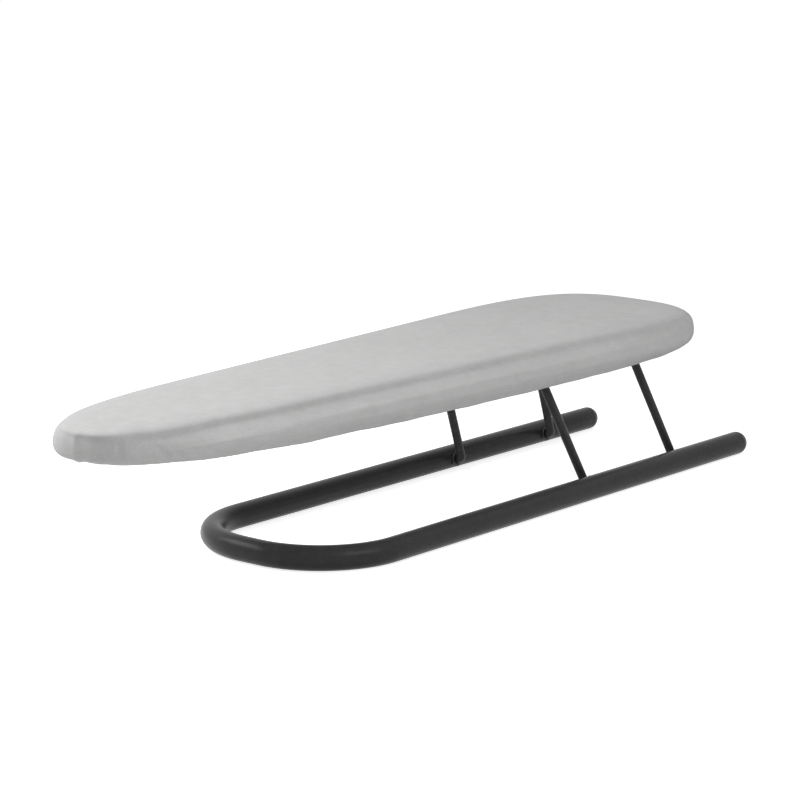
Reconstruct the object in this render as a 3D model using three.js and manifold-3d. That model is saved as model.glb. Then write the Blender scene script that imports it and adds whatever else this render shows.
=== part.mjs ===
// A folding tabletop sleeve board with its fitted, padded and elasticated ironing cover.
// Lengths are in millimetres and angles in degrees. +Z is up, and +X runs from the narrow nose to the wide end.
// The origin is on the table, under the middle of the overall length and width.

import * as THREE from 'three';
import { mergeVertices } from 'three/addons/utils/BufferGeometryUtils.js';
import Module from 'manifold-3d';

const wasm = await Module();
wasm.setup();

// Overall sizes
const boardLength = 569.1;
const ironingHeight = 110.8;
const baseLength = 456.8;
const basePastBoard = 30.8;

// Clearances
const seatGap = 0.3;
const runningGap = 0.3;
const cutOverrun = 2;

// Board outline: the nose curve, a straight taper and the wide end's curve.
// A pull is how far a curve keeps the direction that it starts or ends with, as a share of its length or width.
const noseLength = 140;
const noseHalfWidth = 62;
const noseTipPullShare = 0.804;
const noseSidePullShare = 0.438;
const wideEndLength = 154;
const shoulderHalfWidth = 76.1;
const shoulderPullShare = 0.73;
const wideEndPullShare = 0.898;
const noseSteps = 10;
const taperSteps = 5;
const wideEndSteps = 11;

// Cover: its side is measured down from the ironing surface, its hem in from the outline.
// Under the rounded edge of the top it has a crease, drawn in along the straight sides, and below that a belly.
const coverThickness = 1.2;
const flatTopInset = 18;
const crownPullShare = 0.5;
const creaseDrop = 4.2;
const creaseInsetAtNose = 1.2;
const creaseInsetAtSide = 6.5;
const creasePullShare = 0.57;
const bellyPullShare = 0.35;
const bellyDropShareAtNose = 0.57;
const bellyDropShareAtSide = 0.7;
const bulgeStartShares = [0.05, 0.35];
const bulgeFadeShares = [0.72, 0.97];
const bulgeLossShare = 0.75;
const sideDepthAtNose = 19.9;
const sideDepthAtWideEnd = 21;
const sideBow = 5.1;
const sideDrawIn = 4.6;
const lowerEdgePullShare = 0.45;
const hemInset = 12;
const hemLift = 0.6;
const hemCurlAngle = 165;
const crownSteps = 3;
const bellySteps = 2;
const lowerEdgeSteps = 2;
const hemCurlSteps = 3;
const elasticRadius = 1.2;
const elasticSides = 6;

// Pad and pressed steel panel
const padThickness = 5.7;
const padSideThickness = 10;
const panelThickness = 1;
const panelEdgeBend = 1;
const rimAboveHem = 0.5;
const ventRadius = 6;
const ventPitch = 36;
const ventRowSpacing = 30;
const ventEdgeMargin = 16;
const ventBracketMargin = 20;
const ventSides = 8;

// Base: one steel tube bent into a U, with plastic plugs in its ends and nylon bushes in its sides
const tubeRadius = 8;
const tubeWall = 1.2;
const baseHalfGauge = 65.3;
const baseBendRadius = 57.8;
const baseBendSteps = 10;
const tubeSides = 16;
const capHeadLength = 8;
const capPlugLength = 12;
const capArcSteps = 5;
const bushWall = 0.7;
const bushFlangeRim = 1.3;
const bushFlangeThickness = 0.8;
const bushPastWall = 1.5;

// Legs: two bent steel rods, hinged in the base below and under the panel above
const rodRadius = 3;
const rodSides = 12;
const legLean = 26.1;
const legSpacing = 103.8;
const rearFootFromEnd = 69.2;
const footStandOff = 4.6;
const footBendRadius = 4;
const pinPastWall = 5;
const crossbarEdgeMargin = 19;
const crossbarBendRadius = 9;
const rodBendSteps = 4;

// Brackets under the panel, and the rivets that hold them
const stripThickness = 1.2;
const strapWidth = 12;
const strapSidePlay = 1.2;
const strapEarLength = 9.5;
const saddleSteps = 8;
const stopWidth = 14;
const stopEarLength = 14;
const stopReach = 14;
const rivetShankRadius = 1.6;
const rivetHeadRadius = 2.8;
const rivetHeadDepth = 0.7;
const rivetHeadRim = 0.15;
const rivetTailRadius = 3;
const rivetTailHeight = 1.5;
const rivetTailFlatShare = 0.55;
const rivetSides = 10;

// Places along the length
const noseX = -(boardLength + basePastBoard) / 2;
const wideEndX = noseX + boardLength;
const baseEndX = wideEndX + basePastBoard;
const bendCentreX = baseEndX - baseLength + tubeRadius;
const tubeEndX = baseEndX - capHeadLength - seatGap;

// Heights, from the ironing surface down
const padTopZ = ironingHeight - coverThickness - seatGap;
const padUndersideZ = padTopZ - padThickness;
const panelTopZ = padUndersideZ - seatGap;
const panelUndersideZ = panelTopZ - panelThickness;
const hemCurlRadius = elasticRadius + seatGap + coverThickness;
const highestHemZ = ironingHeight - Math.min(sideDepthAtNose, sideDepthAtWideEnd) + hemLift + 2 * hemCurlRadius;
const rimBottomZ = highestHemZ + rimAboveHem;
const boardPivotZ = panelUndersideZ - runningGap - rodRadius;

// Leg geometry, seen from the side
const lean = THREE.MathUtils.degToRad(legLean);
const footPivotZ = tubeRadius;
const legRise = boardPivotZ - footPivotZ;
const legSetback = legRise * Math.tan(lean);
const rearFootX = baseEndX - rearFootFromEnd;
const frontFootX = rearFootX - legSpacing;
const innerWallY = baseHalfGauge - tubeRadius;
const footY = innerWallY - footStandOff;
const crossbarHalfWidth = halfWidthAt(frontFootX - legSetback) - hemInset - hemCurlRadius - crossbarEdgeMargin;

// Insets from the cover's outline
const panelInset = coverThickness + seatGap + padSideThickness + seatGap;
const padInnerInset = panelInset - seatGap;

// Finishes
const fabricGrey = finish(0xc6c6c4, 0.95, 0);
const feltWhite = finish(0xe4e1d8, 1, 0);
const elasticWhite = finish(0xd9d9d6, 0.9, 0);
const panelSteel = finish(0x9da0a2, 0.45, 0.7);
const bracketSteel = finish(0xb4b6b8, 0.35, 0.9);
const rivetSteel = finish(0xbfc1c3, 0.3, 0.9);
const darkPaint = finish(0x3b3c3e, 0.45, 0.2);
const darkPlastic = finish(0x2f3032, 0.55, 0);
const blackNylon = finish(0x1d1d1f, 0.6, 0);

function finish(color, roughness, metalness) {
  return new THREE.MeshStandardMaterial({ color, roughness, metalness });
}

function addPiece(parent, name, geometry, material) {
  const piece = new THREE.Mesh(geometry, material);
  piece.name = name;
  parent.add(piece);
  return piece;
}

// Joins and cuts

// Cutters are welded before they are moved, while the two edges of a seam still match exactly
function weld(geometry) {
  const bare = geometry.clone();
  bare.deleteAttribute('normal');
  bare.deleteAttribute('uv');
  return mergeVertices(bare);
}

function toSolid(geometry) {
  const merged = weld(geometry);
  const vertProperties = new Float32Array(merged.attributes.position.array);
  const triVerts = new Uint32Array(merged.index.array);
  return new wasm.Manifold(new wasm.Mesh({ numProp: 3, vertProperties, triVerts }));
}

function cut(geometry, cutters) {
  let solid = toSolid(geometry);
  for (const cutter of cutters) {
    solid = solid.subtract(toSolid(cutter));
  }
  const mesh = solid.getMesh();
  const result = new THREE.BufferGeometry();
  result.setAttribute('position', new THREE.BufferAttribute(mesh.vertProperties, 3));
  result.setIndex(new THREE.BufferAttribute(mesh.triVerts, 1));
  result.computeVertexNormals();
  return result;
}

// Rings of points, each of the same count and anticlockwise from above, joined into one closed body.
// The rings run from the top outwards, down and back in. They either close on themselves or end in flat faces.
function joinRings(rings, closeOnThemselves) {
  const count = rings[0].length;
  const spans = closeOnThemselves ? rings.length : rings.length - 1;
  const index = [];
  for (let i = 0; i < spans; i++) {
    const upper = i * count;
    const lower = ((i + 1) % rings.length) * count;
    for (let j = 0; j < count; j++) {
      const next = (j + 1) % count;
      index.push(upper + j, lower + j, lower + next);
      index.push(upper + j, lower + next, upper + next);
    }
  }
  if (!closeOnThemselves) {
    closeRing(index, count, 0, false);
    closeRing(index, count, (rings.length - 1) * count, true);
  }
  const geometry = new THREE.BufferGeometry();
  const coordinates = rings.flat().flatMap((point) => [point.x, point.y, point.z]);
  geometry.setAttribute('position', new THREE.Float32BufferAttribute(coordinates, 3));
  geometry.setIndex(index);
  geometry.computeVertexNormals();
  return geometry;
}

// A flat face over a ring whose far side mirrors its near side, in strips across the board.
// Every point of the ring is used, also those of a straight run. At the two tips a strip is one triangle.
function closeRing(index, count, first, facesDown) {
  const opposite = (i) => (count - i) % count;
  for (let i = 0; i < count / 2; i++) {
    const strip = [
      [i, i + 1, opposite(i + 1)],
      [i, opposite(i + 1), opposite(i)],
    ];
    for (const [a, b, c] of strip.filter((corners) => new Set(corners).size === corners.length)) {
      const corners = facesDown ? [a, c, b] : [a, b, c];
      index.push(...corners.map((corner) => first + corner));
    }
  }
}

// Board outline

function halfOutline() {
  const taperEnd = boardLength - wideEndLength;
  const taperSlope = (shoulderHalfWidth - noseHalfWidth) / (taperEnd - noseLength);
  const noseSidePull = noseSidePullShare * noseLength;
  const shoulderPull = shoulderPullShare * wideEndLength;
  const noseCurve = new THREE.CubicBezierCurve(
    new THREE.Vector2(0, 0),
    new THREE.Vector2(0, noseTipPullShare * noseHalfWidth),
    new THREE.Vector2(noseLength - noseSidePull, noseHalfWidth - noseSidePull * taperSlope),
    new THREE.Vector2(noseLength, noseHalfWidth),
  );
  const taper = new THREE.LineCurve(noseCurve.v3, new THREE.Vector2(taperEnd, shoulderHalfWidth));
  const wideEndCurve = new THREE.CubicBezierCurve(
    taper.v2,
    new THREE.Vector2(taperEnd + shoulderPull, shoulderHalfWidth + shoulderPull * taperSlope),
    new THREE.Vector2(boardLength, wideEndPullShare * shoulderHalfWidth),
    new THREE.Vector2(boardLength, 0),
  );
  return [
    ...noseCurve.getPoints(noseSteps),
    ...taper.getPoints(taperSteps).slice(1),
    ...wideEndCurve.getPoints(wideEndSteps).slice(1),
  ];
}

// Stations all round the outline, anticlockwise, each with its outward direction and its share of the length
function outlineStations() {
  const farSide = halfOutline();
  const nearSide = farSide.map((point) => new THREE.Vector2(point.x, -point.y));
  const loop = [...nearSide, ...farSide.slice(1, -1).reverse()];
  return loop.map((point, i) => {
    const before = loop[(i + loop.length - 1) % loop.length];
    const after = loop[(i + 1) % loop.length];
    const along = after.clone().sub(before).normalize();
    return {
      place: new THREE.Vector2(noseX + point.x, point.y),
      outward: new THREE.Vector2(along.y, -along.x),
      share: point.x / boardLength,
    };
  });
}

const stations = outlineStations();

function ringPoint(station, inset, z) {
  const place = station.place.clone().addScaledVector(station.outward, -inset);
  return new THREE.Vector3(place.x, place.y, z);
}

// A profile is a list of (inset from the outline, height) at one station. The body takes it all round.
function bodyFromProfile(profileAt, closeOnThemselves) {
  const profiles = stations.map((station) => profileAt(station.share));
  const rings = profiles[0].map((_, i) =>
    stations.map((station, j) => ringPoint(station, profiles[j][i].x, profiles[j][i].y)),
  );
  return joinRings(rings, closeOnThemselves);
}

// A profile moved towards the inside of the board by the same distance everywhere
function movedInwards(profile, distance) {
  return profile.map((point, i) => {
    const before = profile[Math.max(i - 1, 0)];
    const after = profile[Math.min(i + 1, profile.length - 1)];
    const along = after.clone().sub(before).normalize();
    return new THREE.Vector2(point.x - along.y * distance, point.y + along.x * distance);
  });
}

function halfWidthAt(x) {
  const points = halfOutline();
  const end = points.findIndex((point) => noseX + point.x > x);
  const start = points[end - 1];
  const share = (x - noseX - start.x) / (points[end].x - start.x);
  return THREE.MathUtils.lerp(start.y, points[end].y, share);
}

// Soft pieces

function lowerEdgeZ(share) {
  const depth = THREE.MathUtils.lerp(sideDepthAtNose, sideDepthAtWideEnd, share);
  return ironingHeight - depth - 4 * sideBow * share * (1 - share);
}

function elasticCentre(share) {
  return new THREE.Vector2(hemInset, lowerEdgeZ(share) + hemLift + hemCurlRadius);
}

// How much of the belly there is: all along the straight sides, none round the nose, a little round the wide end
function bulgeAt(share) {
  const grown = THREE.MathUtils.smoothstep(share, ...bulgeStartShares);
  const faded = THREE.MathUtils.smoothstep(share, ...bulgeFadeShares);
  return grown * (1 - bulgeLossShare * faded);
}

// Below the ironing surface, from the flat top over its rounded edge and the crease to the belly
function upperProfile(share) {
  const bulge = bulgeAt(share);
  const depth = ironingHeight - lowerEdgeZ(share);
  const creaseInset = THREE.MathUtils.lerp(creaseInsetAtNose, creaseInsetAtSide, bulge);
  const bellyDrop = THREE.MathUtils.lerp(bellyDropShareAtNose, bellyDropShareAtSide, bulge) * depth;
  const crown = new THREE.CubicBezierCurve(
    new THREE.Vector2(flatTopInset, ironingHeight),
    new THREE.Vector2(flatTopInset * (1 - crownPullShare), ironingHeight),
    new THREE.Vector2(creaseInset, ironingHeight - creaseDrop * (1 - creasePullShare)),
    new THREE.Vector2(creaseInset, ironingHeight - creaseDrop),
  );
  const belly = new THREE.CubicBezierCurve(
    crown.v3,
    new THREE.Vector2(creaseInset, ironingHeight - THREE.MathUtils.lerp(creaseDrop, bellyDrop, bellyPullShare)),
    new THREE.Vector2(0, ironingHeight - THREE.MathUtils.lerp(bellyDrop, creaseDrop, bellyPullShare)),
    new THREE.Vector2(0, ironingHeight - bellyDrop),
  );
  return [...crown.getPoints(crownSteps), ...belly.getPoints(bellySteps).slice(1)];
}

function coverOuterProfile(share) {
  const upper = upperProfile(share);
  const lowerZ = lowerEdgeZ(share);
  const bellyZ = upper[upper.length - 1].y;
  const lowerEdge = new THREE.CubicBezierCurve(
    new THREE.Vector2(0, bellyZ),
    new THREE.Vector2(0, THREE.MathUtils.lerp(lowerZ, bellyZ, lowerEdgePullShare)),
    new THREE.Vector2(0, lowerZ),
    new THREE.Vector2(sideDrawIn, lowerZ),
  );
  const centre = elasticCentre(share);
  const curl = [];
  for (let i = 0; i <= hemCurlSteps; i++) {
    const angle = THREE.MathUtils.degToRad((hemCurlAngle * i) / hemCurlSteps);
    const reach = new THREE.Vector2(Math.sin(angle), -Math.cos(angle)).multiplyScalar(hemCurlRadius);
    curl.push(centre.clone().add(reach));
  }
  return [...upper, ...lowerEdge.getPoints(lowerEdgeSteps).slice(1), ...curl];
}

function coverProfile(share) {
  const outer = coverOuterProfile(share);
  return [...outer, ...movedInwards(outer, coverThickness).reverse()];
}

// The pad lines the cover from the flat top down to the belly
function padProfile(share) {
  const linedPoints = crownSteps + bellySteps + 1;
  const outer = movedInwards(coverOuterProfile(share), coverThickness + seatGap).slice(0, linedPoints);
  const skirtZ = outer[outer.length - 1].y;
  return [
    ...outer,
    new THREE.Vector2(padInnerInset, skirtZ),
    new THREE.Vector2(padInnerInset, padUndersideZ),
  ];
}

function elasticProfile(share) {
  const centre = elasticCentre(share);
  const points = [];
  for (let i = 0; i < elasticSides; i++) {
    const angle = (2 * Math.PI * i) / elasticSides;
    const reach = new THREE.Vector2(-Math.sin(angle), Math.cos(angle)).multiplyScalar(elasticRadius);
    points.push(centre.clone().add(reach));
  }
  return points;
}

// Pressed steel panel, a shallow tray that opens downwards

function panelProfile() {
  return [
    new THREE.Vector2(panelInset + panelEdgeBend, panelTopZ),
    new THREE.Vector2(panelInset, panelTopZ - panelEdgeBend),
    new THREE.Vector2(panelInset, rimBottomZ),
    new THREE.Vector2(panelInset + panelThickness, rimBottomZ),
    new THREE.Vector2(panelInset + panelThickness, panelUndersideZ),
  ];
}

function ventCutter(x, y) {
  const depth = panelThickness + 2 * cutOverrun;
  const cutter = weld(new THREE.CylinderGeometry(ventRadius, ventRadius, depth, ventSides));
  cutter.rotateX(Math.PI / 2);
  cutter.translate(x, y, panelUndersideZ + panelThickness / 2);
  return cutter;
}

function ventCutters(bracketPlaces) {
  const cutters = [];
  const firstX = noseX + ventPitch + ventEdgeMargin;
  for (let x = firstX; x < wideEndX - ventPitch; x += ventPitch) {
    const nearBracket = bracketPlaces.some((place) => Math.abs(place - x) < ventBracketMargin);
    for (const row of [-1, 0, 1]) {
      const y = row * ventRowSpacing;
      const fits = Math.abs(y) + ventRadius + ventEdgeMargin < halfWidthAt(x);
      if (fits && !nearBracket) {
        cutters.push(ventCutter(x, y));
      }
    }
  }
  return cutters;
}

// Rivets: a head sunk flush with the panel's top, and a round tail under the bracket

function turned(points, sides) {
  const outline = points.map(([radius, height]) => new THREE.Vector2(radius, height));
  return new THREE.LatheGeometry(outline, sides);
}

const rivetGrip = panelThickness + seatGap + stripThickness;

function rivetGeometry() {
  const tailTop = -rivetGrip - seatGap;
  const rivet = turned([
    [0, tailTop - rivetTailHeight],
    [rivetTailRadius * rivetTailFlatShare, tailTop - rivetTailHeight],
    [rivetTailRadius, tailTop - rivetTailHeight / 2],
    [rivetTailRadius, tailTop],
    [rivetShankRadius, tailTop],
    [rivetShankRadius, -rivetHeadDepth],
    [rivetHeadRadius, -rivetHeadRim],
    [rivetHeadRadius, 0],
    [0, 0],
  ], rivetSides);
  return rivet.rotateX(Math.PI / 2);
}

function rivetHoleCutter() {
  const holeRadius = rivetShankRadius + seatGap;
  const sinkRadius = rivetHeadRadius + seatGap;
  const cutter = turned([
    [0, -rivetGrip - cutOverrun],
    [holeRadius, -rivetGrip - cutOverrun],
    [holeRadius, -rivetHeadDepth],
    [sinkRadius, -rivetHeadRim],
    [sinkRadius, cutOverrun],
    [0, cutOverrun],
  ], rivetSides);
  return weld(cutter).rotateX(Math.PI / 2);
}

// Bent tube and rod

// A centreline of straight runs joined by round bends, with steps only where it bends
class BentLine extends THREE.Curve {
  constructor(corners, bendRadii, bendSteps) {
    super();
    this.runs = [];
    let from = corners[0];
    for (let i = 1; i < corners.length - 1; i++) {
      const arriving = corners[i].clone().sub(corners[i - 1]).normalize();
      const leaving = corners[i + 1].clone().sub(corners[i]).normalize();
      const turn = arriving.angleTo(leaving);
      const tangent = bendRadii[i - 1] * Math.tan(turn / 2);
      const start = corners[i].clone().addScaledVector(arriving, -tangent);
      const axis = arriving.clone().cross(leaving).normalize();
      const centre = start.clone().addScaledVector(axis.clone().cross(arriving), bendRadii[i - 1]);
      this.runs.push({ from, to: start, steps: 1 });
      this.runs.push({ from: start, centre, axis, turn, steps: bendSteps });
      from = corners[i].clone().addScaledVector(leaving, tangent);
    }
    this.runs.push({ from, to: corners[corners.length - 1], steps: 1 });
    this.steps = this.runs.reduce((sum, run) => sum + run.steps, 0);
  }

  getPoint(t) {
    let place = t * this.steps;
    let i = 0;
    while (place > this.runs[i].steps && i < this.runs.length - 1) {
      place -= this.runs[i].steps;
      i += 1;
    }
    const run = this.runs[i];
    const share = place / run.steps;
    if (run.to) {
      return run.from.clone().lerp(run.to, share);
    }
    const spoke = run.from.clone().sub(run.centre);
    return spoke.applyAxisAngle(run.axis, run.turn * share).add(run.centre);
  }

  getUtoTmapping(u) {
    return u;
  }
}

// A regular outline with a flat side at the bottom; its flats touch the given radius
function flatSided(radius, sides) {
  const cornerRadius = radius / Math.cos(Math.PI / sides);
  const points = [];
  for (let i = 0; i < sides; i++) {
    const angle = (2 * Math.PI * (i + 1 / 2)) / sides;
    points.push(new THREE.Vector2(Math.cos(angle), Math.sin(angle)).multiplyScalar(cornerRadius));
  }
  return points;
}

function sweep(shape, line) {
  return new THREE.ExtrudeGeometry(shape, { steps: line.steps, extrudePath: line, bevelEnabled: false });
}

function baseTubeGeometry() {
  const corners = [
    new THREE.Vector3(tubeEndX, -baseHalfGauge, tubeRadius),
    new THREE.Vector3(bendCentreX, -baseHalfGauge, tubeRadius),
    new THREE.Vector3(bendCentreX, baseHalfGauge, tubeRadius),
    new THREE.Vector3(tubeEndX, baseHalfGauge, tubeRadius),
  ];
  const line = new BentLine(corners, [baseBendRadius, baseBendRadius], baseBendSteps);
  const section = new THREE.Shape(flatSided(tubeRadius, tubeSides));
  section.holes.push(new THREE.Path(flatSided(tubeRadius - tubeWall, tubeSides)));
  return cut(sweep(section, line), footPlaces().map(bushHoleCutter));
}

function footPlaces() {
  return [frontFootX, rearFootX].flatMap((x) => [-1, 1].map((side) => ({ x, side })));
}

const bushBoreRadius = rodRadius + runningGap;
const bushSleeveRadius = bushBoreRadius + bushWall;

function bushHoleCutter({ x, side }) {
  const radius = bushSleeveRadius + seatGap;
  const depth = tubeRadius + cutOverrun;
  const cutter = weld(new THREE.CylinderGeometry(radius, radius, depth, tubeSides));
  cutter.translate(x, side * (baseHalfGauge - depth / 2), footPivotZ);
  return cutter;
}

// Turned about Y, with the tube's inner wall at zero and the inside of the tube upwards
function bushGeometry() {
  const flangeRadius = bushSleeveRadius + bushFlangeRim;
  const flangeBack = -seatGap;
  const flangeFront = flangeBack - bushFlangeThickness;
  const sleeveEnd = tubeWall + bushPastWall;
  return turned([
    [bushBoreRadius, flangeFront],
    [flangeRadius, flangeFront],
    [flangeRadius, flangeBack],
    [bushSleeveRadius, flangeBack],
    [bushSleeveRadius, sleeveEnd],
    [bushBoreRadius, sleeveEnd],
    [bushBoreRadius, flangeFront],
  ], tubeSides);
}

// Turned about Y, with the tube's end at zero and the outside upwards
function capGeometry() {
  const plugRadius = tubeRadius - tubeWall - seatGap;
  const dome = [];
  for (let i = 0; i <= capArcSteps; i++) {
    const angle = (Math.PI / 2) * (i / capArcSteps);
    dome.push([tubeRadius * Math.cos(angle), seatGap + capHeadLength * Math.sin(angle)]);
  }
  return turned([
    [0, -capPlugLength],
    [plugRadius, -capPlugLength],
    [plugRadius, seatGap],
    ...dome,
  ], tubeSides);
}

// Drawn about the crossbar's middle
function legFrameGeometry() {
  const pinEndY = innerWallY + pinPastWall;
  const corners = [
    new THREE.Vector3(legSetback, -pinEndY, -legRise),
    new THREE.Vector3(legSetback, -footY, -legRise),
    new THREE.Vector3(0, -crossbarHalfWidth, 0),
    new THREE.Vector3(0, crossbarHalfWidth, 0),
    new THREE.Vector3(legSetback, footY, -legRise),
    new THREE.Vector3(legSetback, pinEndY, -legRise),
  ];
  const bends = [footBendRadius, crossbarBendRadius, crossbarBendRadius, footBendRadius];
  const line = new BentLine(corners, bends, rodBendSteps);
  const cornerToFlatShare = Math.cos(Math.PI / rodSides);
  return sweep(new THREE.Shape(flatSided(rodRadius * cornerToFlatShare, rodSides)), line);
}

// Brackets, drawn from the side about the crossbar's axis

const bracketTop = rodRadius + runningGap - seatGap;
const bracketBottom = bracketTop - stripThickness;
const saddleInner = rodRadius + runningGap;
const saddleOuter = saddleInner + stripThickness;
const strapReach = saddleOuter + strapEarLength;
const strapRivetX = saddleOuter + strapEarLength / 2;
const rivetTopZ = panelTopZ - boardPivotZ;

// An outline in X and Z, extruded to a width across the board
function acrossBoard(shape, width) {
  const geometry = new THREE.ExtrudeGeometry(shape, { depth: width, bevelEnabled: false, curveSegments: saddleSteps });
  geometry.translate(0, 0, -width / 2);
  return geometry.rotateX(Math.PI / 2);
}

function strapGeometry() {
  const shape = new THREE.Shape();
  shape.moveTo(-strapReach, bracketBottom);
  shape.lineTo(-saddleOuter, bracketBottom);
  shape.absarc(0, 0, saddleOuter, Math.PI, 2 * Math.PI, false);
  shape.lineTo(saddleOuter, bracketBottom);
  shape.lineTo(strapReach, bracketBottom);
  shape.lineTo(strapReach, bracketTop);
  shape.lineTo(saddleInner, bracketTop);
  shape.absarc(0, 0, saddleInner, 2 * Math.PI, Math.PI, true);
  shape.lineTo(-saddleInner, bracketTop);
  shape.lineTo(-strapReach, bracketTop);
  const holes = [-strapRivetX, strapRivetX].map((x) => rivetHoleCutter().translate(x, 0, rivetTopZ));
  return cut(acrossBoard(shape, strapWidth), holes);
}

// The stop's web lies along the leg at the stance, on the side of the wide end
const alongLeg = new THREE.Vector2(Math.sin(lean), -Math.cos(lean));
const awayFromLeg = new THREE.Vector2(Math.cos(lean), Math.sin(lean));

function webPointAtHeight(distance, height) {
  const point = awayFromLeg.clone().multiplyScalar(distance);
  return point.addScaledVector(alongLeg, (height - point.y) / alongLeg.y);
}

function webPointAtReach(distance, reach) {
  return awayFromLeg.clone().multiplyScalar(distance).addScaledVector(alongLeg, reach);
}

const webInner = rodRadius + runningGap;
const webOuter = webInner + stripThickness;
const stopRivetX = webPointAtHeight(webOuter, bracketBottom).x + stopEarLength / 2;

function stopGeometry() {
  const shape = new THREE.Shape([
    webPointAtHeight(webInner, bracketTop),
    webPointAtReach(webInner, stopReach),
    webPointAtReach(webOuter, stopReach),
    webPointAtHeight(webOuter, bracketBottom),
    new THREE.Vector2(stopRivetX + stopEarLength / 2, bracketBottom),
    new THREE.Vector2(stopRivetX + stopEarLength / 2, bracketTop),
  ]);
  return cut(acrossBoard(shape, stopWidth), [rivetHoleCutter().translate(stopRivetX, 0, rivetTopZ)]);
}

// How far each end of the crossbar runs straight
function crossbarStraightHalf() {
  const leg = new THREE.Vector3(legSetback, footY - crossbarHalfWidth, -legRise).normalize();
  const turn = leg.angleTo(new THREE.Vector3(0, 1, 0));
  return crossbarHalfWidth - crossbarBendRadius * Math.tan(turn / 2);
}

const boardSides = [['near', -1], ['far', 1]];
const strapY = crossbarStraightHalf() - strapSidePlay - strapWidth / 2;
const stopLegShare = stopReach / Math.hypot(legRise, legSetback);
const stopY = THREE.MathUtils.lerp(crossbarHalfWidth, footY, stopLegShare);

// Every rivet, measured from the middle of its crossbar
function rivetPlaces() {
  const places = [];
  for (const [sideName, side] of boardSides) {
    places.push({ name: `strap_rivet_${sideName}_nose_side`, x: -strapRivetX, y: side * strapY });
    places.push({ name: `strap_rivet_${sideName}_wide_side`, x: strapRivetX, y: side * strapY });
    places.push({ name: `stop_rivet_${sideName}`, x: stopRivetX, y: side * stopY });
  }
  return places;
}

const legs = [
  { name: 'front', footX: frontFootX },
  { name: 'rear', footX: rearFootX },
];

function buildBase() {
  const base = new THREE.Group();
  addPiece(base, 'base_tube', baseTubeGeometry(), darkPaint);
  for (const [sideName, side] of boardSides) {
    const cap = addPiece(base, `end_cap_${sideName}`, capGeometry(), darkPlastic);
    cap.position.set(tubeEndX, side * baseHalfGauge, tubeRadius);
    cap.rotation.z = -Math.PI / 2;
    for (const leg of legs) {
      const bush = addPiece(base, `${leg.name}_bush_${sideName}`, bushGeometry(), blackNylon);
      bush.position.set(leg.footX, side * innerWallY, footPivotZ);
      bush.rotation.z = side > 0 ? 0 : Math.PI;
    }
  }
  return base;
}

function buildLegs() {
  const group = new THREE.Group();
  for (const leg of legs) {
    const frame = addPiece(group, `${leg.name}_leg_frame`, legFrameGeometry(), darkPaint);
    frame.position.set(leg.footX - legSetback, 0, boardPivotZ);
  }
  return group;
}

function buildPanel() {
  const pivots = legs.map((leg) => leg.footX - legSetback);
  const rivetHoles = pivots.flatMap((x) =>
    rivetPlaces().map((place) => rivetHoleCutter().translate(x + place.x, place.y, panelTopZ)),
  );
  return cut(bodyFromProfile(panelProfile, false), [...ventCutters(pivots), ...rivetHoles]);
}

function buildBrackets() {
  const group = new THREE.Group();
  for (const leg of legs) {
    const hinge = new THREE.Group();
    hinge.position.set(leg.footX - legSetback, 0, boardPivotZ);
    group.add(hinge);
    for (const [sideName, side] of boardSides) {
      const strap = addPiece(hinge, `${leg.name}_hinge_strap_${sideName}`, strapGeometry(), bracketSteel);
      strap.position.y = side * strapY;
      const stop = addPiece(hinge, `${leg.name}_leg_stop_${sideName}`, stopGeometry(), bracketSteel);
      stop.position.y = side * stopY;
    }
    for (const place of rivetPlaces()) {
      const rivet = addPiece(hinge, `${leg.name}_${place.name}`, rivetGeometry(), rivetSteel);
      rivet.position.set(place.x, place.y, rivetTopZ);
    }
  }
  return group;
}

function buildBoard() {
  const board = new THREE.Group();
  addPiece(board, 'board_panel', buildPanel(), panelSteel);
  board.add(buildBrackets());
  addPiece(board, 'felt_pad', bodyFromProfile(padProfile, false), feltWhite);
  addPiece(board, 'fabric_cover', bodyFromProfile(coverProfile, false), fabricGrey);
  addPiece(board, 'hem_elastic', bodyFromProfile(elasticProfile, true), elasticWhite);
  return board;
}

const group = new THREE.Group();
group.add(buildBase(), buildLegs(), buildBoard());

export default group;
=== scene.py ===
# A folding tabletop sleeve board with its fitted, padded and elasticated ironing cover. Sizes are in
# millimetres and angles in degrees. Near means the side at -Y.

import math

import bmesh
import bpy
import numpy as np
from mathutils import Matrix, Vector


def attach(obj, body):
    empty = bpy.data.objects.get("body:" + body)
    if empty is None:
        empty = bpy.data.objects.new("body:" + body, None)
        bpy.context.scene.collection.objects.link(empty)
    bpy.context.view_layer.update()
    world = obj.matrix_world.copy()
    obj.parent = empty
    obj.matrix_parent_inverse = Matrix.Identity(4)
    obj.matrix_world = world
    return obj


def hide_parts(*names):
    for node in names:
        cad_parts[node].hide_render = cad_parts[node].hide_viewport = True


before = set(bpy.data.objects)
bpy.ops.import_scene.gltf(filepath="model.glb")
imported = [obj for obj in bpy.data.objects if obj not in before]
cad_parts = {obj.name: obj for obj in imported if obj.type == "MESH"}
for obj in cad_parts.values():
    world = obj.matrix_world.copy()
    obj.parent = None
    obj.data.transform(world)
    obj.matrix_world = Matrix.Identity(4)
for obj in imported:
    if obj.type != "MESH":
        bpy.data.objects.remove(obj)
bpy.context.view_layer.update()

MM = 0.001
NEAR_FAR = (("near", -1), ("far", 1))

# Overall sizes and clearances
BOARD_LENGTH = 569.1
IRONING_HEIGHT = 110.8
BASE_LENGTH = 456.8
BASE_PAST_BOARD = 30.8
SEAT_GAP = 0.3
RUNNING_GAP = 0.3

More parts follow.
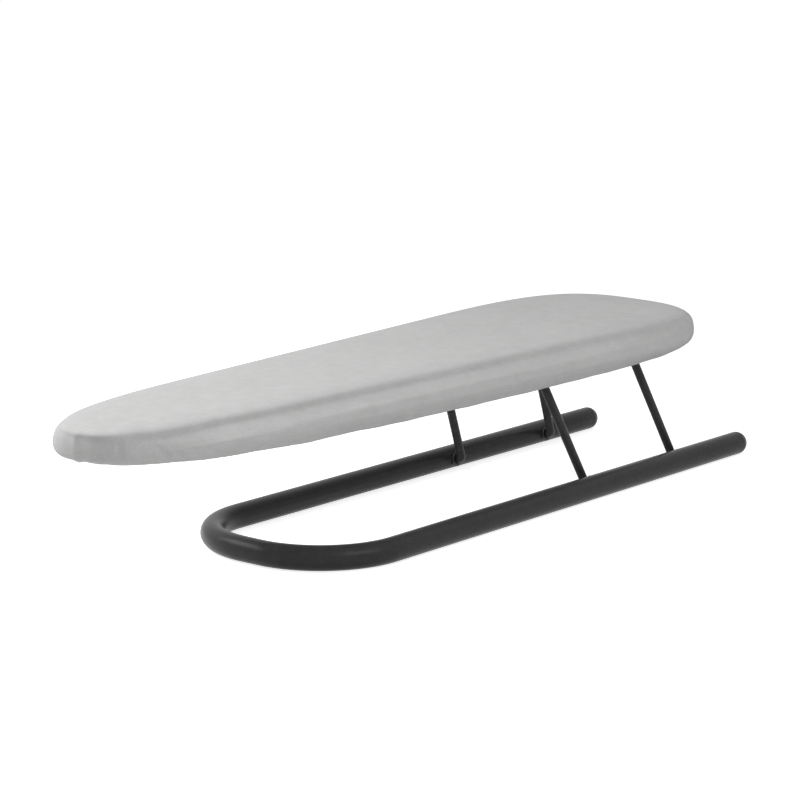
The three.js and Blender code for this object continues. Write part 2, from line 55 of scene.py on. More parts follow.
# Board outline
NOSE_LENGTH = 140.0
NOSE_HALF_WIDTH = 62.0
NOSE_TIP_PULL_SHARE = 0.804
NOSE_SIDE_PULL_SHARE = 0.438
WIDE_END_LENGTH = 154.0
SHOULDER_HALF_WIDTH = 76.1
SHOULDER_PULL_SHARE = 0.73
WIDE_END_PULL_SHARE = 0.898

# Cover, pad and panel
COVER_THICKNESS = 0.8
SIDE_DEPTH_AT_NOSE = 19.9
SIDE_DEPTH_AT_WIDE_END = 21.0
SIDE_BOW = 5.1
HEM_INSET = 12.0
HEM_LIFT = 0.6
HEM_CURL_RADIUS = 2.7
ELASTIC_RADIUS = 1.2
PANEL_TOP_DROP = 7.5
PANEL_THICKNESS = 1.0
PANEL_INSET = 11.8
RIM_BOTTOM_DROP = 13.4
VENT_RADIUS = 6.0
VENT_PITCH = 36.0
VENT_ROW_SPACING = 30.0
VENT_EDGE_MARGIN = 16.0
VENT_BRACKET_MARGIN = 20.0

# Base tube
TUBE_RADIUS = 8.0
TUBE_WALL = 1.2
BASE_HALF_GAUGE = 65.3
BASE_BEND_RADIUS = 57.8
CAP_HEAD_LENGTH = 8.0
CAP_PLUG_LENGTH = 12.0
BUSH_WALL = 0.7
BUSH_FLANGE_RIM = 1.3
BUSH_FLANGE_THICKNESS = 0.8
BUSH_PAST_WALL = 1.5

# Legs
ROD_RADIUS = 3.0
ROD_BORE = ROD_RADIUS + RUNNING_GAP
LEG_LEAN = 26.1
LEG_SPACING = 103.8
REAR_FOOT_FROM_END = 69.2
FOOT_STAND_OFF = 4.6
FOOT_BEND_RADIUS = 4.0
PIN_PAST_WALL = 5.0
CROSSBAR_HALF_WIDTH = 40.72
CROSSBAR_BEND_RADIUS = 9.0

# Brackets and rivets
STRIP_THICKNESS = 1.2
STRAP_WIDTH = 12.0
STRAP_SIDE_PLAY = 1.2
STRAP_EAR_LENGTH = 9.5
STOP_EAR_LENGTH = 14.0
STOP_REACH = 14.0
RIVET_SHANK_RADIUS = 1.6
RIVET_HEAD_RADIUS = 2.8
RIVET_HEAD_DEPTH = 0.7
RIVET_HEAD_RIM = 0.15
RIVET_TAIL_RADIUS = 3.0
RIVET_TAIL_HEIGHT = 1.5

# Places that follow from the sizes
NOSE_X = -(BOARD_LENGTH + BASE_PAST_BOARD) / 2
WIDE_END_X = NOSE_X + BOARD_LENGTH
BASE_END_X = WIDE_END_X + BASE_PAST_BOARD
BEND_CENTRE_X = BASE_END_X - BASE_LENGTH + TUBE_RADIUS
TUBE_END_X = BASE_END_X - CAP_HEAD_LENGTH - SEAT_GAP
PANEL_TOP_Z = IRONING_HEIGHT - PANEL_TOP_DROP
PANEL_UNDERSIDE_Z = PANEL_TOP_Z - PANEL_THICKNESS
RIM_BOTTOM_Z = IRONING_HEIGHT - RIM_BOTTOM_DROP
BOARD_PIVOT_Z = PANEL_UNDERSIDE_Z - RUNNING_GAP - ROD_RADIUS
LEG_RISE = BOARD_PIVOT_Z - TUBE_RADIUS
LEG_SETBACK = LEG_RISE * math.tan(math.radians(LEG_LEAN))
REAR_FOOT_X = BASE_END_X - REAR_FOOT_FROM_END
FRONT_FOOT_X = REAR_FOOT_X - LEG_SPACING
INNER_WALL_Y = BASE_HALF_GAUGE - TUBE_RADIUS
FOOT_Y = INNER_WALL_Y - FOOT_STAND_OFF
LEGS = (("front", FRONT_FOOT_X), ("rear", REAR_FOOT_X))


# Camera, at the photograph's viewing angle

CAMERA_TARGET = (-10.451, -4.481, 80.734)
CAMERA_AZIMUTH = 50.5675
CAMERA_ELEVATION = 12.0214
CAMERA_DISTANCE = 1961.4
CAMERA_LENS = 136.85


def add_object(name, data):
    obj = bpy.data.objects.new(name, data)
    bpy.context.scene.collection.objects.link(obj)
    return obj


# Turns an object so that its +Z, the back of a camera or a lamp, looks along a direction
def face_back(obj, direction):
    obj.rotation_euler = direction.to_track_quat("Z", "Y").to_euler()


def set_camera():
    azimuth = math.radians(CAMERA_AZIMUTH)
    elevation = math.radians(CAMERA_ELEVATION)
    back = Vector((
        -math.sin(azimuth) * math.cos(elevation),
        -math.cos(azimuth) * math.cos(elevation),
        math.sin(elevation),
    ))
    data = bpy.data.cameras.new("camera")
    data.sensor_width = 36.0
    data.lens = CAMERA_LENS
    data.clip_start, data.clip_end = 0.05, 100.0
    camera = add_object("camera", data)
    camera.location = (Vector(CAMERA_TARGET) + back * CAMERA_DISTANCE) * MM
    face_back(camera, back)
    bpy.context.scene.camera = camera


set_camera()


# Node materials. Lengths are in metres, and the scale of a noise or a wave is per metre.

# The shares between which nearly all of a noise lies, and the shares of a whole range
NOISE_SHARES = (0.3, 0.7)
WHOLE_SHARES = (0.0, 1.0)
MIDDLE_SHARE = 0.5

# Sockets of the Mix node, which shares one list among its kinds of data
MIX_FACTOR = 0
MIX_NUMBERS = (2, 3)
MIX_COLOURS = (6, 7)
MIX_COLOUR_RESULT = 2


def set_inputs(tree, made, inputs):
    for key, value in inputs.items():
        if isinstance(value, bpy.types.NodeSocket):
            tree.links.new(value, made.inputs[key])
        else:
            made.inputs[key].default_value = value


def node(tree, kind, inputs=None, **settings):
    made = tree.nodes.new(kind)
    for key, value in settings.items():
        setattr(made, key, value)
    set_inputs(tree, made, inputs or {})
    return made


# A material whose shader takes the inputs that its look gives
def material_of(name, look, **finish):
    material = bpy.data.materials.new(name)
    material.use_nodes = True
    tree = material.node_tree
    set_inputs(tree, tree.nodes["Principled BSDF"], look(tree, **finish))
    return material


def maths(tree, operation, *values):
    return node(tree, "ShaderNodeMath", dict(enumerate(values)), operation=operation).outputs[0]


# A noise over the piece's own space, with a scale for each axis where it is stretched
def noise(tree, scale, detail=2.0, roughness=0.5, stretch=(1, 1, 1)):
    place = object_place(tree, stretch)
    inputs = {"Vector": place, "Scale": scale, "Detail": detail, "Roughness": roughness}
    return node(tree, "ShaderNodeTexNoise", inputs).outputs["Fac"]


def wave(tree, scale, distortion, **settings):
    inputs = {"Vector": object_place(tree), "Scale": scale, "Distortion": distortion}
    return node(tree, "ShaderNodeTexWave", inputs, **settings).outputs["Fac"]


def ramp(tree, value, places, colours):
    made = node(tree, "ShaderNodeValToRGB", {"Fac": value})
    elements = made.color_ramp.elements
    while len(elements) < len(places):
        elements.new(MIDDLE_SHARE)
    for element, place, colour in zip(elements, places, colours):
        element.position = place
        element.color = (*colour, 1)
    return made.outputs["Color"]


def grey(value, warmth=0.0):
    return (value * (1 + warmth), value, value * (1 - warmth))


# From one share of a grey shade to another
def grey_ramp(tree, value, shade, shares, places=NOISE_SHARES, warmth=0.0):
    return ramp(tree, value, places, [grey(shade * share, warmth) for share in shares])


def mixed_colour(tree, amount, colour, other):
    inputs = {MIX_FACTOR: amount, MIX_COLOURS[0]: colour, MIX_COLOURS[1]: (*other, 1)}
    return node(tree, "ShaderNodeMix", inputs, data_type="RGBA").outputs[MIX_COLOUR_RESULT]


def remap(tree, value, places, low, high):
    inputs = {0: value, 1: places[0], 2: places[1], 3: low, 4: high}
    return node(tree, "ShaderNodeMapRange", inputs).outputs[0]


def spread(tree, value, low, high):
    return remap(tree, value, NOISE_SHARES, low, high)


def around(margin, middle=0.0):
    return middle - margin, middle + margin


# Two noises that each move a value up and down, added
def two_spreads(tree, coarse, coarse_range, fine, fine_range):
    return maths(tree, "ADD", spread(tree, coarse, *coarse_range), spread(tree, fine, *fine_range))


def object_place(tree, stretch=(1, 1, 1)):
    place = node(tree, "ShaderNodeTexCoord").outputs["Object"]
    return node(tree, "ShaderNodeMapping", {"Vector": place, "Scale": stretch}).outputs[0]


def bump(tree, height, distance, strength, normal=None):
    inputs = {"Height": height, "Distance": distance, "Strength": strength}
    if normal is not None:
        inputs["Normal"] = normal
    return node(tree, "ShaderNodeBump", inputs).outputs["Normal"]


def vector_maths(tree, operation, a, b):
    return node(tree, "ShaderNodeVectorMath", {0: a, 1: b}, operation=operation).outputs[0]


WEAVE_PITCH = 0.00062


# Plain weave from the flat map of the cloth, whose unit is one metre
def weave_height(tree):
    flat = node(tree, "ShaderNodeUVMap", uv_map="flat").outputs["UV"]
    wobble = node(tree, "ShaderNodeTexNoise", {"Vector": flat, "Scale": 240.0, "Detail": 2.0})
    shift = vector_maths(tree, "MULTIPLY", wobble.outputs["Color"], (WEAVE_PITCH, WEAVE_PITCH, 0))
    bent = vector_maths(tree, "ADD", flat, shift)
    axes = node(tree, "ShaderNodeSeparateXYZ", {0: bent}).outputs
    u, v = (maths(tree, "MULTIPLY", axes[axis], math.pi / WEAVE_PITCH) for axis in "XY")
    warp, weft = (maths(tree, "ABSOLUTE", maths(tree, "COSINE", way)) for way in (u, v))
    crossing = maths(tree, "MULTIPLY", maths(tree, "SINE", u), maths(tree, "SINE", v))
    over = remap(tree, crossing, places=(-0.25, 0.25), low=0.0, high=1.0)
    inputs = {MIX_FACTOR: over, MIX_NUMBERS[0]: warp, MIX_NUMBERS[1]: weft}
    return node(tree, "ShaderNodeMix", inputs).outputs[0]


def cover_look(tree):
    weave = weave_height(tree)
    cloud = noise(tree, scale=16.0, detail=3.0)
    mottle = noise(tree, scale=100.0, detail=4.0, roughness=0.65)
    slub_scales = ((90, 900, 900), (900, 90, 900))
    slubs = maths(tree, "MAXIMUM", *(noise(tree, scale=1.0, stretch=scales) for scales in slub_scales))
    tone = two_spreads(tree, cloud, around(0.016), mottle, around(0.03))
    tone = maths(tree, "ADD", tone, remap(tree, slubs, places=(0.56, 0.74), low=0.0, high=0.07))
    # Painted shade: the cloth is up to 0.04 darker where the weave is low, between the threads
    tone = maths(tree, "ADD", tone, remap(tree, weave, WHOLE_SHARES, low=-0.04, high=0.0))
    tone = maths(tree, "ADD", tone, MIDDLE_SHARE)
    soft = bump(tree, noise(tree, scale=60.0, detail=3.0), distance=0.0012, strength=0.25)
    threads = bump(tree, slubs, distance=0.0001, strength=0.35, normal=soft)
    return {
        "Base Color": grey_ramp(tree, tone, shade=0.57, shares=(0.86, 1.14), places=(0.4, 0.6), warmth=0.004),
        "Roughness": spread(tree, mottle, low=0.82, high=0.94),
        "Sheen Weight": 0.12,
        "Sheen Roughness": 0.5,
        "Specular IOR Level": 0.25,
        "Normal": bump(tree, weave, distance=0.00011, strength=0.5, normal=threads),
    }


def thread_look(tree):
    twist = wave(tree, scale=900.0, distortion=1.0)
    return {
        # Painted shade and light: the twist is darker in its grooves and lighter on its ridges
        "Base Color": grey_ramp(tree, twist, shade=1, shares=(0.48, 0.62), places=WHOLE_SHARES),
        "Roughness": 0.6,
        "Sheen Weight": 0.2,
        "Normal": bump(tree, twist, distance=0.0001, strength=0.6),
    }


def elastic_look(tree):
    braid = wave(tree, scale=420.0, distortion=3.0, bands_direction="DIAGONAL")
    return {
        # Painted shade and light: the braid is darker in its grooves and lighter on its ridges
        "Base Color": grey_ramp(tree, braid, shade=1, shares=(0.5, 0.72), places=WHOLE_SHARES),
        "Roughness": 0.75,
        "Normal": bump(tree, braid, distance=0.0002, strength=0.7),
    }


def felt_look(tree):
    fibres = noise(tree, scale=1.0, detail=6.0, roughness=0.75, stretch=(420, 420, 1300))
    lumps = noise(tree, scale=120.0, detail=3.0)
    coarse = bump(tree, lumps, distance=0.0012, strength=0.5)
    colours = ((0.5, 0.49, 0.46), (0.68, 0.67, 0.63), (0.8, 0.79, 0.75))
    return {
        "Base Color": ramp(tree, fibres, (0.3, 0.55, 0.75), colours),
        "Roughness": 1.0,
        "Sheen Weight": 0.4,
        "Normal": bump(tree, fibres, distance=0.0006, strength=0.8, normal=coarse),
    }


# Powder paint, worn to a lighter grey in patches along its edges
def paint_look(tree):
    cloud = noise(tree, scale=14.0, detail=3.0)
    peel = noise(tree, scale=900.0)
    grain = noise(tree, scale=2600.0)
    edge = node(tree, "ShaderNodeNewGeometry").outputs["Pointiness"]
    edges = remap(tree, edge, places=(0.505, 0.56), low=0.0, high=1.0)
    patch = noise(tree, scale=160.0, detail=4.0, roughness=0.7)
    patches = remap(tree, patch, places=(0.5, 0.66), low=0.0, high=0.6)
    tone = two_spreads(tree, cloud, (0.3, 0.6), grain, around(0.1))
    paint = grey_ramp(tree, tone, shade=0.043, shares=(0.85, 1.25), places=WHOLE_SHARES)
    fine = bump(tree, grain, distance=0.00003, strength=0.25)
    return {
        "Base Color": mixed_colour(tree, maths(tree, "MULTIPLY", edges, patches), paint, (0.16, 0.16, 0.165)),
        "Roughness": two_spreads(tree, cloud, (0.26, 0.31), grain, around(0.03)),
        "Specular IOR Level": 0.1,
        "Normal": bump(tree, peel, distance=0.00009, strength=0.35, normal=fine),
    }


def plastic_look(tree, shade, roughness):
    grain = noise(tree, scale=1800.0, detail=3.0)
    cloud = noise(tree, scale=60.0, detail=3.0)
    return {
        "Base Color": grey_ramp(tree, cloud, shade, shares=(0.88, 1.15)),
        "Roughness": two_spreads(tree, cloud, around(0.05, roughness), grain, around(0.04)),
        "Normal": bump(tree, grain, distance=0.00006, strength=0.4),
    }


# Steel with duller, warmer specks, brushed by a noise with a scale for each axis
def steel_look(tree, shade, roughness, brushed):
    lines = noise(tree, scale=1.0, detail=4.0, roughness=0.6, stretch=brushed)
    cloud = noise(tree, scale=35.0, detail=4.0, roughness=0.6)
    specks = noise(tree, scale=420.0, detail=5.0, roughness=0.7)
    bright = grey_ramp(tree, cloud, shade, shares=(0.86, 1.1), warmth=-0.01)
    dull_share = 0.6
    dull = remap(tree, specks, places=(0.62, 0.75), low=0.0, high=0.35)
    return {
        "Base Color": mixed_colour(tree, dull, bright, grey(shade * dull_share, warmth=0.05)),
        "Metallic": 1.0,
        "Roughness": two_spreads(tree, cloud, around(0.06, roughness), lines, (-0.05, 0.07)),
        "Normal": bump(tree, lines, distance=0.00003, strength=0.4),
    }


# Mesh making. A shape is its points and its faces.

SHARP_ANGLE = 40.0


def raw_mesh(name, shape):
    points, faces = shape
    mesh = bpy.data.meshes.new(name)
    mesh.from_pydata((np.asarray(points, float) * MM).tolist(), [], [list(map(int, f)) for f in faces])
    mesh.update()
    return mesh


def shade_smooth(mesh, sharp_angle=SHARP_ANGLE):
    mesh.polygons.foreach_set("use_smooth", [True] * len(mesh.polygons))
    if sharp_angle:
        mesh.set_sharp_from_angle(angle=math.radians(sharp_angle))


def make_object(name, shape, material, body, slot, sharp_angle=SHARP_ANGLE):
    mesh = raw_mesh(name, shape)
    shade_smooth(mesh, sharp_angle)
    mesh.materials.append(material)
    obj = add_object(name, mesh)
    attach(obj, body)
    return obj


def fix_normals(obj):
    made = bmesh.new()
    made.from_mesh(obj.data)
    bmesh.ops.recalc_face_normals(made, faces=made.faces)
    made.to_mesh(obj.data)
    made.free()


# A piece whose faces all look outwards
def make_solid(*arguments, **settings):
    obj = make_object(*arguments, **settings)
    fix_normals(obj)
    return obj


def ring_faces(rings, count, closed_rings=False):
    faces = []
    for i in range(rings if closed_rings else rings - 1):
        upper = i * count
        lower = ((i + 1) % rings) * count
        for j in range(count):
            following = (j + 1) % count
            faces.append((upper + j, lower + j, lower + following, upper + following))
    return faces


# Rings joined into a shape that closes along them
def looped(rings):
    return np.concatenate(rings), ring_faces(len(rings), len(rings[0]), closed_rings=True)


# The corners of a face, each of them once
def without_repeats(*corners):
    return list(dict.fromkeys(corners))


# A profile of (radius, height) turned about Z, and joined to its start where it is closed
def lathe(profile, sides, closed=False):
    angles = np.arange(sides) * 2 * math.pi / sides
    points = []
    starts = []
    for radius, height in profile:
        starts.append(len(points))
        if radius == 0:
            points.append((0, 0, height))
        else:
            points.extend((radius * math.cos(a), radius * math.sin(a), height) for a in angles)

    def corner(i, j):
        return starts[i] + (j % sides if profile[i][0] else 0)

    faces = []
    for i in range(len(profile) if closed else len(profile) - 1):
        k = (i + 1) % len(profile)
        for j in range(sides):
            face = without_repeats(corner(i, j), corner(k, j), corner(k, j + 1), corner(i, j + 1))
            if len(face) > 2:
                faces.append(face)
    return np.array(points, float), faces


# A plain round shape between two heights
def drum(radius, low, high, sides):
    return lathe([(0, low), (radius, low), (radius, high), (0, high)], sides)


CORNER_REACH_SHARE = 0.45


# Rounds the inner corners of a polyline, keeping its ends where it isn't closed
def rounded(profile, radius, steps=4, closed=False):
    points = [np.array(p, float) for p in profile]
    count = len(points)
    made = []
    for i in range(count):
        if not closed and i in (0, count - 1):
            made.append(points[i])
            continue
        before, here, after = points[i - 1], points[i], points[(i + 1) % count]
        arriving, leaving = np.linalg.norm(before - here), np.linalg.norm(after - here)
        reach = min(radius, arriving * CORNER_REACH_SHARE, leaving * CORNER_REACH_SHARE)
        start = here + (before - here) / arriving * reach
        end = here + (after - here) / leaving * reach
        for t in np.linspace(0, 1, steps + 1):
            made.append((1 - t) ** 2 * start + 2 * (1 - t) * t * here + t ** 2 * end)
    return [tuple(p) for p in made]


def straight(start, end, spacing):
    steps = max(1, int(np.linalg.norm(end - start) / spacing))
    return [start + (end - start) * t for t in np.linspace(0, 1, steps + 1)]


def unit(vector):
    return vector / np.linalg.norm(vector)


# Points along straight runs joined by round bends
def bent_line(corners, radii, bend_steps, spacing):
    corners = [np.array(c, float) for c in corners]
    points = [corners[0]]
    for before, here, after, radius in zip(corners, corners[1:], corners[2:], radii):
        arriving, leaving = unit(here - before), unit(after - here)
        turn = math.acos(np.clip(arriving @ leaving, -1, 1))
        start = here - arriving * radius * math.tan(turn / 2)
        inwards = unit(leaving - arriving * (leaving @ arriving))
        centre = start + inwards * radius
        points.extend(straight(points[-1], start, spacing)[1:])
        for angle in np.linspace(0, turn, bend_steps + 1)[1:]:
            points.append(centre - inwards * radius * math.cos(angle) + arriving * radius * math.sin(angle))
    points.extend(straight(points[-1], corners[-1], spacing)[1:])
    return np.array(points)


# Rings of a section with the given radii along a line, each square to it and none twisted
def tube_rings(line, radii, sides, up=(0, 0, 1)):
    tangents = np.gradient(line, axis=0)
    tangents /= np.linalg.norm(tangents, axis=1)[:, None]
    side = unit(np.cross(tangents[0], up))
    angles = np.arange(sides) * 2 * math.pi / sides
    rings = []
    for place, tangent, radius in zip(line, tangents, radii):
        side = unit(side - tangent * (side @ tangent))
        top = np.cross(side, tangent)
        rings.append(place + radius * (np.outer(np.cos(angles), side) + np.outer(np.sin(angles), top)))
    return rings


# Adds a point close to each end, so that the edge of an end stays narrow
def close_ends(line, reach):
    first = line[0] + unit(line[1] - line[0]) * reach
    last = line[-1] + unit(line[-2] - line[-1]) * reach
    return np.concatenate([line[:1], [first], line[1:-1], [last], line[-1:]])


def capped_tube(rings):
    count = len(rings[0])
    faces = ring_faces(len(rings), count)
    faces.append(tuple(range(count)))
    faces.append(tuple((len(rings) - 1) * count + i for i in range(count))[::-1])
    return np.concatenate(rings), faces


def apply_modifiers(obj):
    bpy.context.view_layer.update()
    evaluated = obj.evaluated_get(bpy.context.evaluated_depsgraph_get())
    mesh = bpy.data.meshes.new_from_object(evaluated)
    old = obj.data
    obj.modifiers.clear()
    obj.data = mesh
    bpy.data.meshes.remove(old)


# Cuts a shape out of a piece
def cut_out(obj, shape):
    cutter = add_object("cutter", raw_mesh("cutter", shape))
    fix_normals(cutter)
    modifier = obj.modifiers.new("cut", "BOOLEAN")
    modifier.operation = "DIFFERENCE"
    modifier.solver = "EXACT"
    modifier.object = cutter
    apply_modifiers(obj)
    bpy.data.objects.remove(cutter)
    shade_smooth(obj.data)


# A shape moved to a place, with its +Z turned towards a direction where one is given
def placed(shape, place, towards=None):
    points, faces = shape
    points = np.asarray(points, float)
    if towards:
        turn = Vector(towards).to_track_quat("Z", "Y")
        points = points @ np.array(turn.to_matrix()).T
    return points + np.array(place, float), faces


def joined(shapes):
    points, faces, start = [], [], 0
    for shape_points, shape_faces in shapes:
        points.append(np.asarray(shape_points, float))
        faces.extend(tuple(start + i for i in face) for face in shape_faces)
        start += len(shape_points)
    return np.concatenate(points), faces


# Base

TUBE_SIDES = 64
BUSH_SLEEVE = ROD_BORE + BUSH_WALL
BUSH_SIDES = 40
BUSH_EASE = 0.25
BUSH_HOLE_LEAD = 3.0


def base_line():
    corners = [
        (x, side * BASE_HALF_GAUGE, TUBE_RADIUS)
        for x, side in ((TUBE_END_X, -1), (BEND_CENTRE_X, -1), (BEND_CENTRE_X, 1), (TUBE_END_X, 1))
    ]
    line = bent_line(corners, [BASE_BEND_RADIUS] * 2, bend_steps=48, spacing=12.0)
    return close_ends(line, reach=0.4)


def build_tube(paint):
    line = base_line()
    radii = (TUBE_RADIUS, TUBE_RADIUS - TUBE_WALL)
    outer, inner = (tube_rings(line, [radius] * len(line), TUBE_SIDES) for radius in radii)
    tube = make_solid("bent_tube", looped(outer + inner[::-1]), paint, "base", "dark_paint")
    bore = drum(BUSH_SLEEVE + SEAT_GAP, low=0, high=12.0, sides=BUSH_SIDES)
    start = INNER_WALL_Y - BUSH_HOLE_LEAD
    cut_out(tube, joined([
        placed(bore, (foot_x, side * start, TUBE_RADIUS), towards=(0, side, 0))
        for _, side in NEAR_FAR for _, foot_x in LEGS
    ]))
    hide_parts("base_tube")


def build_base_fittings(plastic, nylon):
    for side_name, side in NEAR_FAR:
        place = (TUBE_END_X, side * BASE_HALF_GAUGE, TUBE_RADIUS)
        shape = placed(cap_shape(), place, towards=(1, 0, 0))
        cap = make_solid(f"tube_cap_{side_name}", shape, plastic, "base", "dark_plastic")
        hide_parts(f"end_cap_{side_name}")
        for leg_name, foot_x in LEGS:
            shape = placed(bush_shape(), (foot_x, side * INNER_WALL_Y, TUBE_RADIUS), towards=(0, side, 0))
            bush = make_solid(f"{leg_name}_pivot_bush_{side_name}", shape, nylon, "base", "black_nylon")
            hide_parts(f"{leg_name}_bush_{side_name}")


CAP_TIP_EASE = 0.8
CAP_RIBS = 3
CAP_RIB_START = 1.0
CAP_RIB_PITCH = 3.4
CAP_RIB_DEPTH = 0.5
CAP_RIB_RISE = 2.2
CAP_RIB_LENGTH = 2.5
CAP_RIM_EASE = 0.35
CAP_RIM_STEP = 0.05
CAP_DOME_START_RADIANS = 0.04
CAP_DOME_STEPS = 18


# About +Z, with the tube's end at zero
def cap_shape():
    plug = TUBE_RADIUS - TUBE_WALL - SEAT_GAP
    groove = plug - CAP_RIB_DEPTH
    profile = [(0, -CAP_PLUG_LENGTH), (plug - CAP_TIP_EASE, -CAP_PLUG_LENGTH)]
    for i in range(CAP_RIBS):
        low = CAP_RIB_START - CAP_PLUG_LENGTH + i * CAP_RIB_PITCH
        profile += [(groove, low), (plug, low + CAP_RIB_RISE), (groove, low + CAP_RIB_LENGTH)]
    profile += [
        (groove, SEAT_GAP), (TUBE_RADIUS - CAP_RIM_EASE, SEAT_GAP),
        (TUBE_RADIUS - CAP_RIM_STEP, SEAT_GAP + CAP_RIM_EASE),
    ]
    for angle in np.linspace(CAP_DOME_START_RADIANS, math.pi / 2, CAP_DOME_STEPS):
        profile.append((TUBE_RADIUS * math.cos(angle), SEAT_GAP + CAP_HEAD_LENGTH * math.sin(angle)))
    profile[-1] = (0, SEAT_GAP + CAP_HEAD_LENGTH)
    return lathe(profile, TUBE_SIDES)


# About +Z, with the tube's inner wall at zero and the inside of the tube upwards
def bush_shape():
    flange = BUSH_SLEEVE + BUSH_FLANGE_RIM
    back = -SEAT_GAP
    front = back - BUSH_FLANGE_THICKNESS
    end = TUBE_WALL + BUSH_PAST_WALL
    return lathe([
        (ROD_BORE, front + BUSH_EASE), (ROD_BORE + BUSH_EASE, front), (flange - BUSH_EASE, front),
        (flange, front + BUSH_EASE), (flange, back), (BUSH_SLEEVE, back), (BUSH_SLEEVE, end - BUSH_EASE),
        (BUSH_SLEEVE - BUSH_EASE, end), (ROD_BORE, end),
    ], BUSH_SIDES, closed=True)


# Legs

ROD_END_EASE = 0.5


def build_legs(paint):
    pin_end = INNER_WALL_Y + PIN_PAST_WALL
    half_bends = [FOOT_BEND_RADIUS, CROSSBAR_BEND_RADIUS]
    for leg_name, foot_x in LEGS:
        top_x = foot_x - LEG_SETBACK
        corners = [
            (foot_x, -pin_end, TUBE_RADIUS), (foot_x, -FOOT_Y, TUBE_RADIUS),
            (top_x, -CROSSBAR_HALF_WIDTH, BOARD_PIVOT_Z), (top_x, CROSSBAR_HALF_WIDTH, BOARD_PIVOT_Z),
            (foot_x, FOOT_Y, TUBE_RADIUS), (foot_x, pin_end, TUBE_RADIUS),
        ]
        line = bent_line(corners, half_bends + half_bends[::-1], bend_steps=14, spacing=6.0)
        line = close_ends(line, ROD_END_EASE)
        eased = ROD_RADIUS - ROD_END_EASE
        radii = [eased, *[ROD_RADIUS] * (len(line) - 2), eased]
        shape = capped_tube(tube_rings(line, radii, sides=32))
        rod = make_solid(f"{leg_name}_leg_rod", shape, paint, f"{leg_name}_leg", "dark_paint")
        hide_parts(f"{leg_name}_leg_frame")


# Board outline: stations all round it, anticlockwise from the nose, near side first

CURVE_STEPS = 2000
EVEN_STEPS = 20001


def bezier(points):
    t = np.linspace(0, 1, CURVE_STEPS)[:, None]
    p = np.array(points, float)
    return (1 - t) ** 3 * p[0] + 3 * (1 - t) ** 2 * t * p[1] + 3 * (1 - t) * t * t * p[2] + t ** 3 * p[3]


def dense_half_outline():
    taper_end = BOARD_LENGTH - WIDE_END_LENGTH
    slope = (SHOULDER_HALF_WIDTH - NOSE_HALF_WIDTH) / (taper_end - NOSE_LENGTH)
    side_pull = NOSE_SIDE_PULL_SHARE * NOSE_LENGTH
    shoulder_pull = SHOULDER_PULL_SHARE * WIDE_END_LENGTH
    nose = bezier([
        (0, 0), (0, NOSE_TIP_PULL_SHARE * NOSE_HALF_WIDTH),
        (NOSE_LENGTH - side_pull, NOSE_HALF_WIDTH - side_pull * slope), (NOSE_LENGTH, NOSE_HALF_WIDTH),
    ])
    wide_end = bezier([
        (taper_end, SHOULDER_HALF_WIDTH),
        (taper_end + shoulder_pull, SHOULDER_HALF_WIDTH + shoulder_pull * slope),
        (BOARD_LENGTH, WIDE_END_PULL_SHARE * SHOULDER_HALF_WIDTH), (BOARD_LENGTH, 0),
    ])
    return np.concatenate([nose, wide_end])


def lengths_along(line):
    return np.concatenate([[0], np.cumsum(np.linalg.norm(np.diff(line, axis=0), axis=1))])


class Stations:
    def __init__(self, spacing):
        half = dense_half_outline()
        along = lengths_along(half)
        self.half_count = int(along[-1] / spacing) + 1
        s = np.linspace(0, along[-1], self.half_count)
        middle = np.linspace(0, along[-1], EVEN_STEPS)
        place = np.stack([np.interp(s, along, half[:, axis]) for axis in (0, 1)], 1)
        dense = (np.interp(middle, along, half[:, axis]) for axis in (0, 1))
        turn_x, turn_y = (np.interp(s, middle, np.gradient(values, middle)) for values in dense)
        turn_x[0], turn_y[0] = 0, 1
        turn_x[-1], turn_y[-1] = 0, -1
        size = np.hypot(turn_x, turn_y)
        far = slice(self.half_count - 2, 0, -1)

        def both_sides(values):
            return np.concatenate([values * [1, -1], values[far]])

        self.place = both_sides(place) + [NOSE_X, 0]
        self.out = both_sides(np.stack([-turn_y / size, turn_x / size], 1))
        self.share = (self.place[:, 0] - NOSE_X) / BOARD_LENGTH
        self.round_length = 2 * along[-1]
        self.along = np.concatenate([s, self.round_length - s[far]])
        self.count = len(self.place)

    # Points at an inset from the outline, where the inset and z are numbers or one value a station
    def points(self, inset, z):
        inset, z = (np.broadcast_to(value, self.share.shape) for value in (inset, z))
        return np.column_stack([self.place - self.out * inset[:, None], z])

    def opposite(self, i):
        return (self.count - i) % self.count

    # How far each station is from a place along the edge, by the shorter way round
    def distance_from(self, place):
        half = self.round_length / 2
        return (self.along - place + half) % self.round_length - half


# A flat face across a ring, in strips from the nose to the wide end
def strip_faces(stations, first, faces_down=False):
    faces = []
    for i in range(stations.half_count - 1):
        corners = without_repeats(i, i + 1, stations.opposite(i + 1), stations.opposite(i))
        faces.append([first + c for c in (corners[::-1] if faces_down else corners)])
    return faces


def half_width_at(x):
    half = dense_half_outline()
    return float(np.interp(x - NOSE_X, half[:, 0], half[:, 1]))


# Cover

def smooth_step(value, low, high):
    t = np.clip((value - low) / (high - low), 0, 1)
    return t * t * (3 - 2 * t)


TURN_START_SHARES = (0.009, 0.044)
FAR_FADE_SHARES = (0.84, 0.98)
FAR_FADE_LOSS_SHARE = 0.3
NEAR_FADE_SHARES = (0.87, 0.965)
NEAR_FADE_LOSS_SHARE = 0.8
SIDE_START_SHARES = (0.03, 0.15)
SIDE_END_SHARES = (0.7, 0.98)


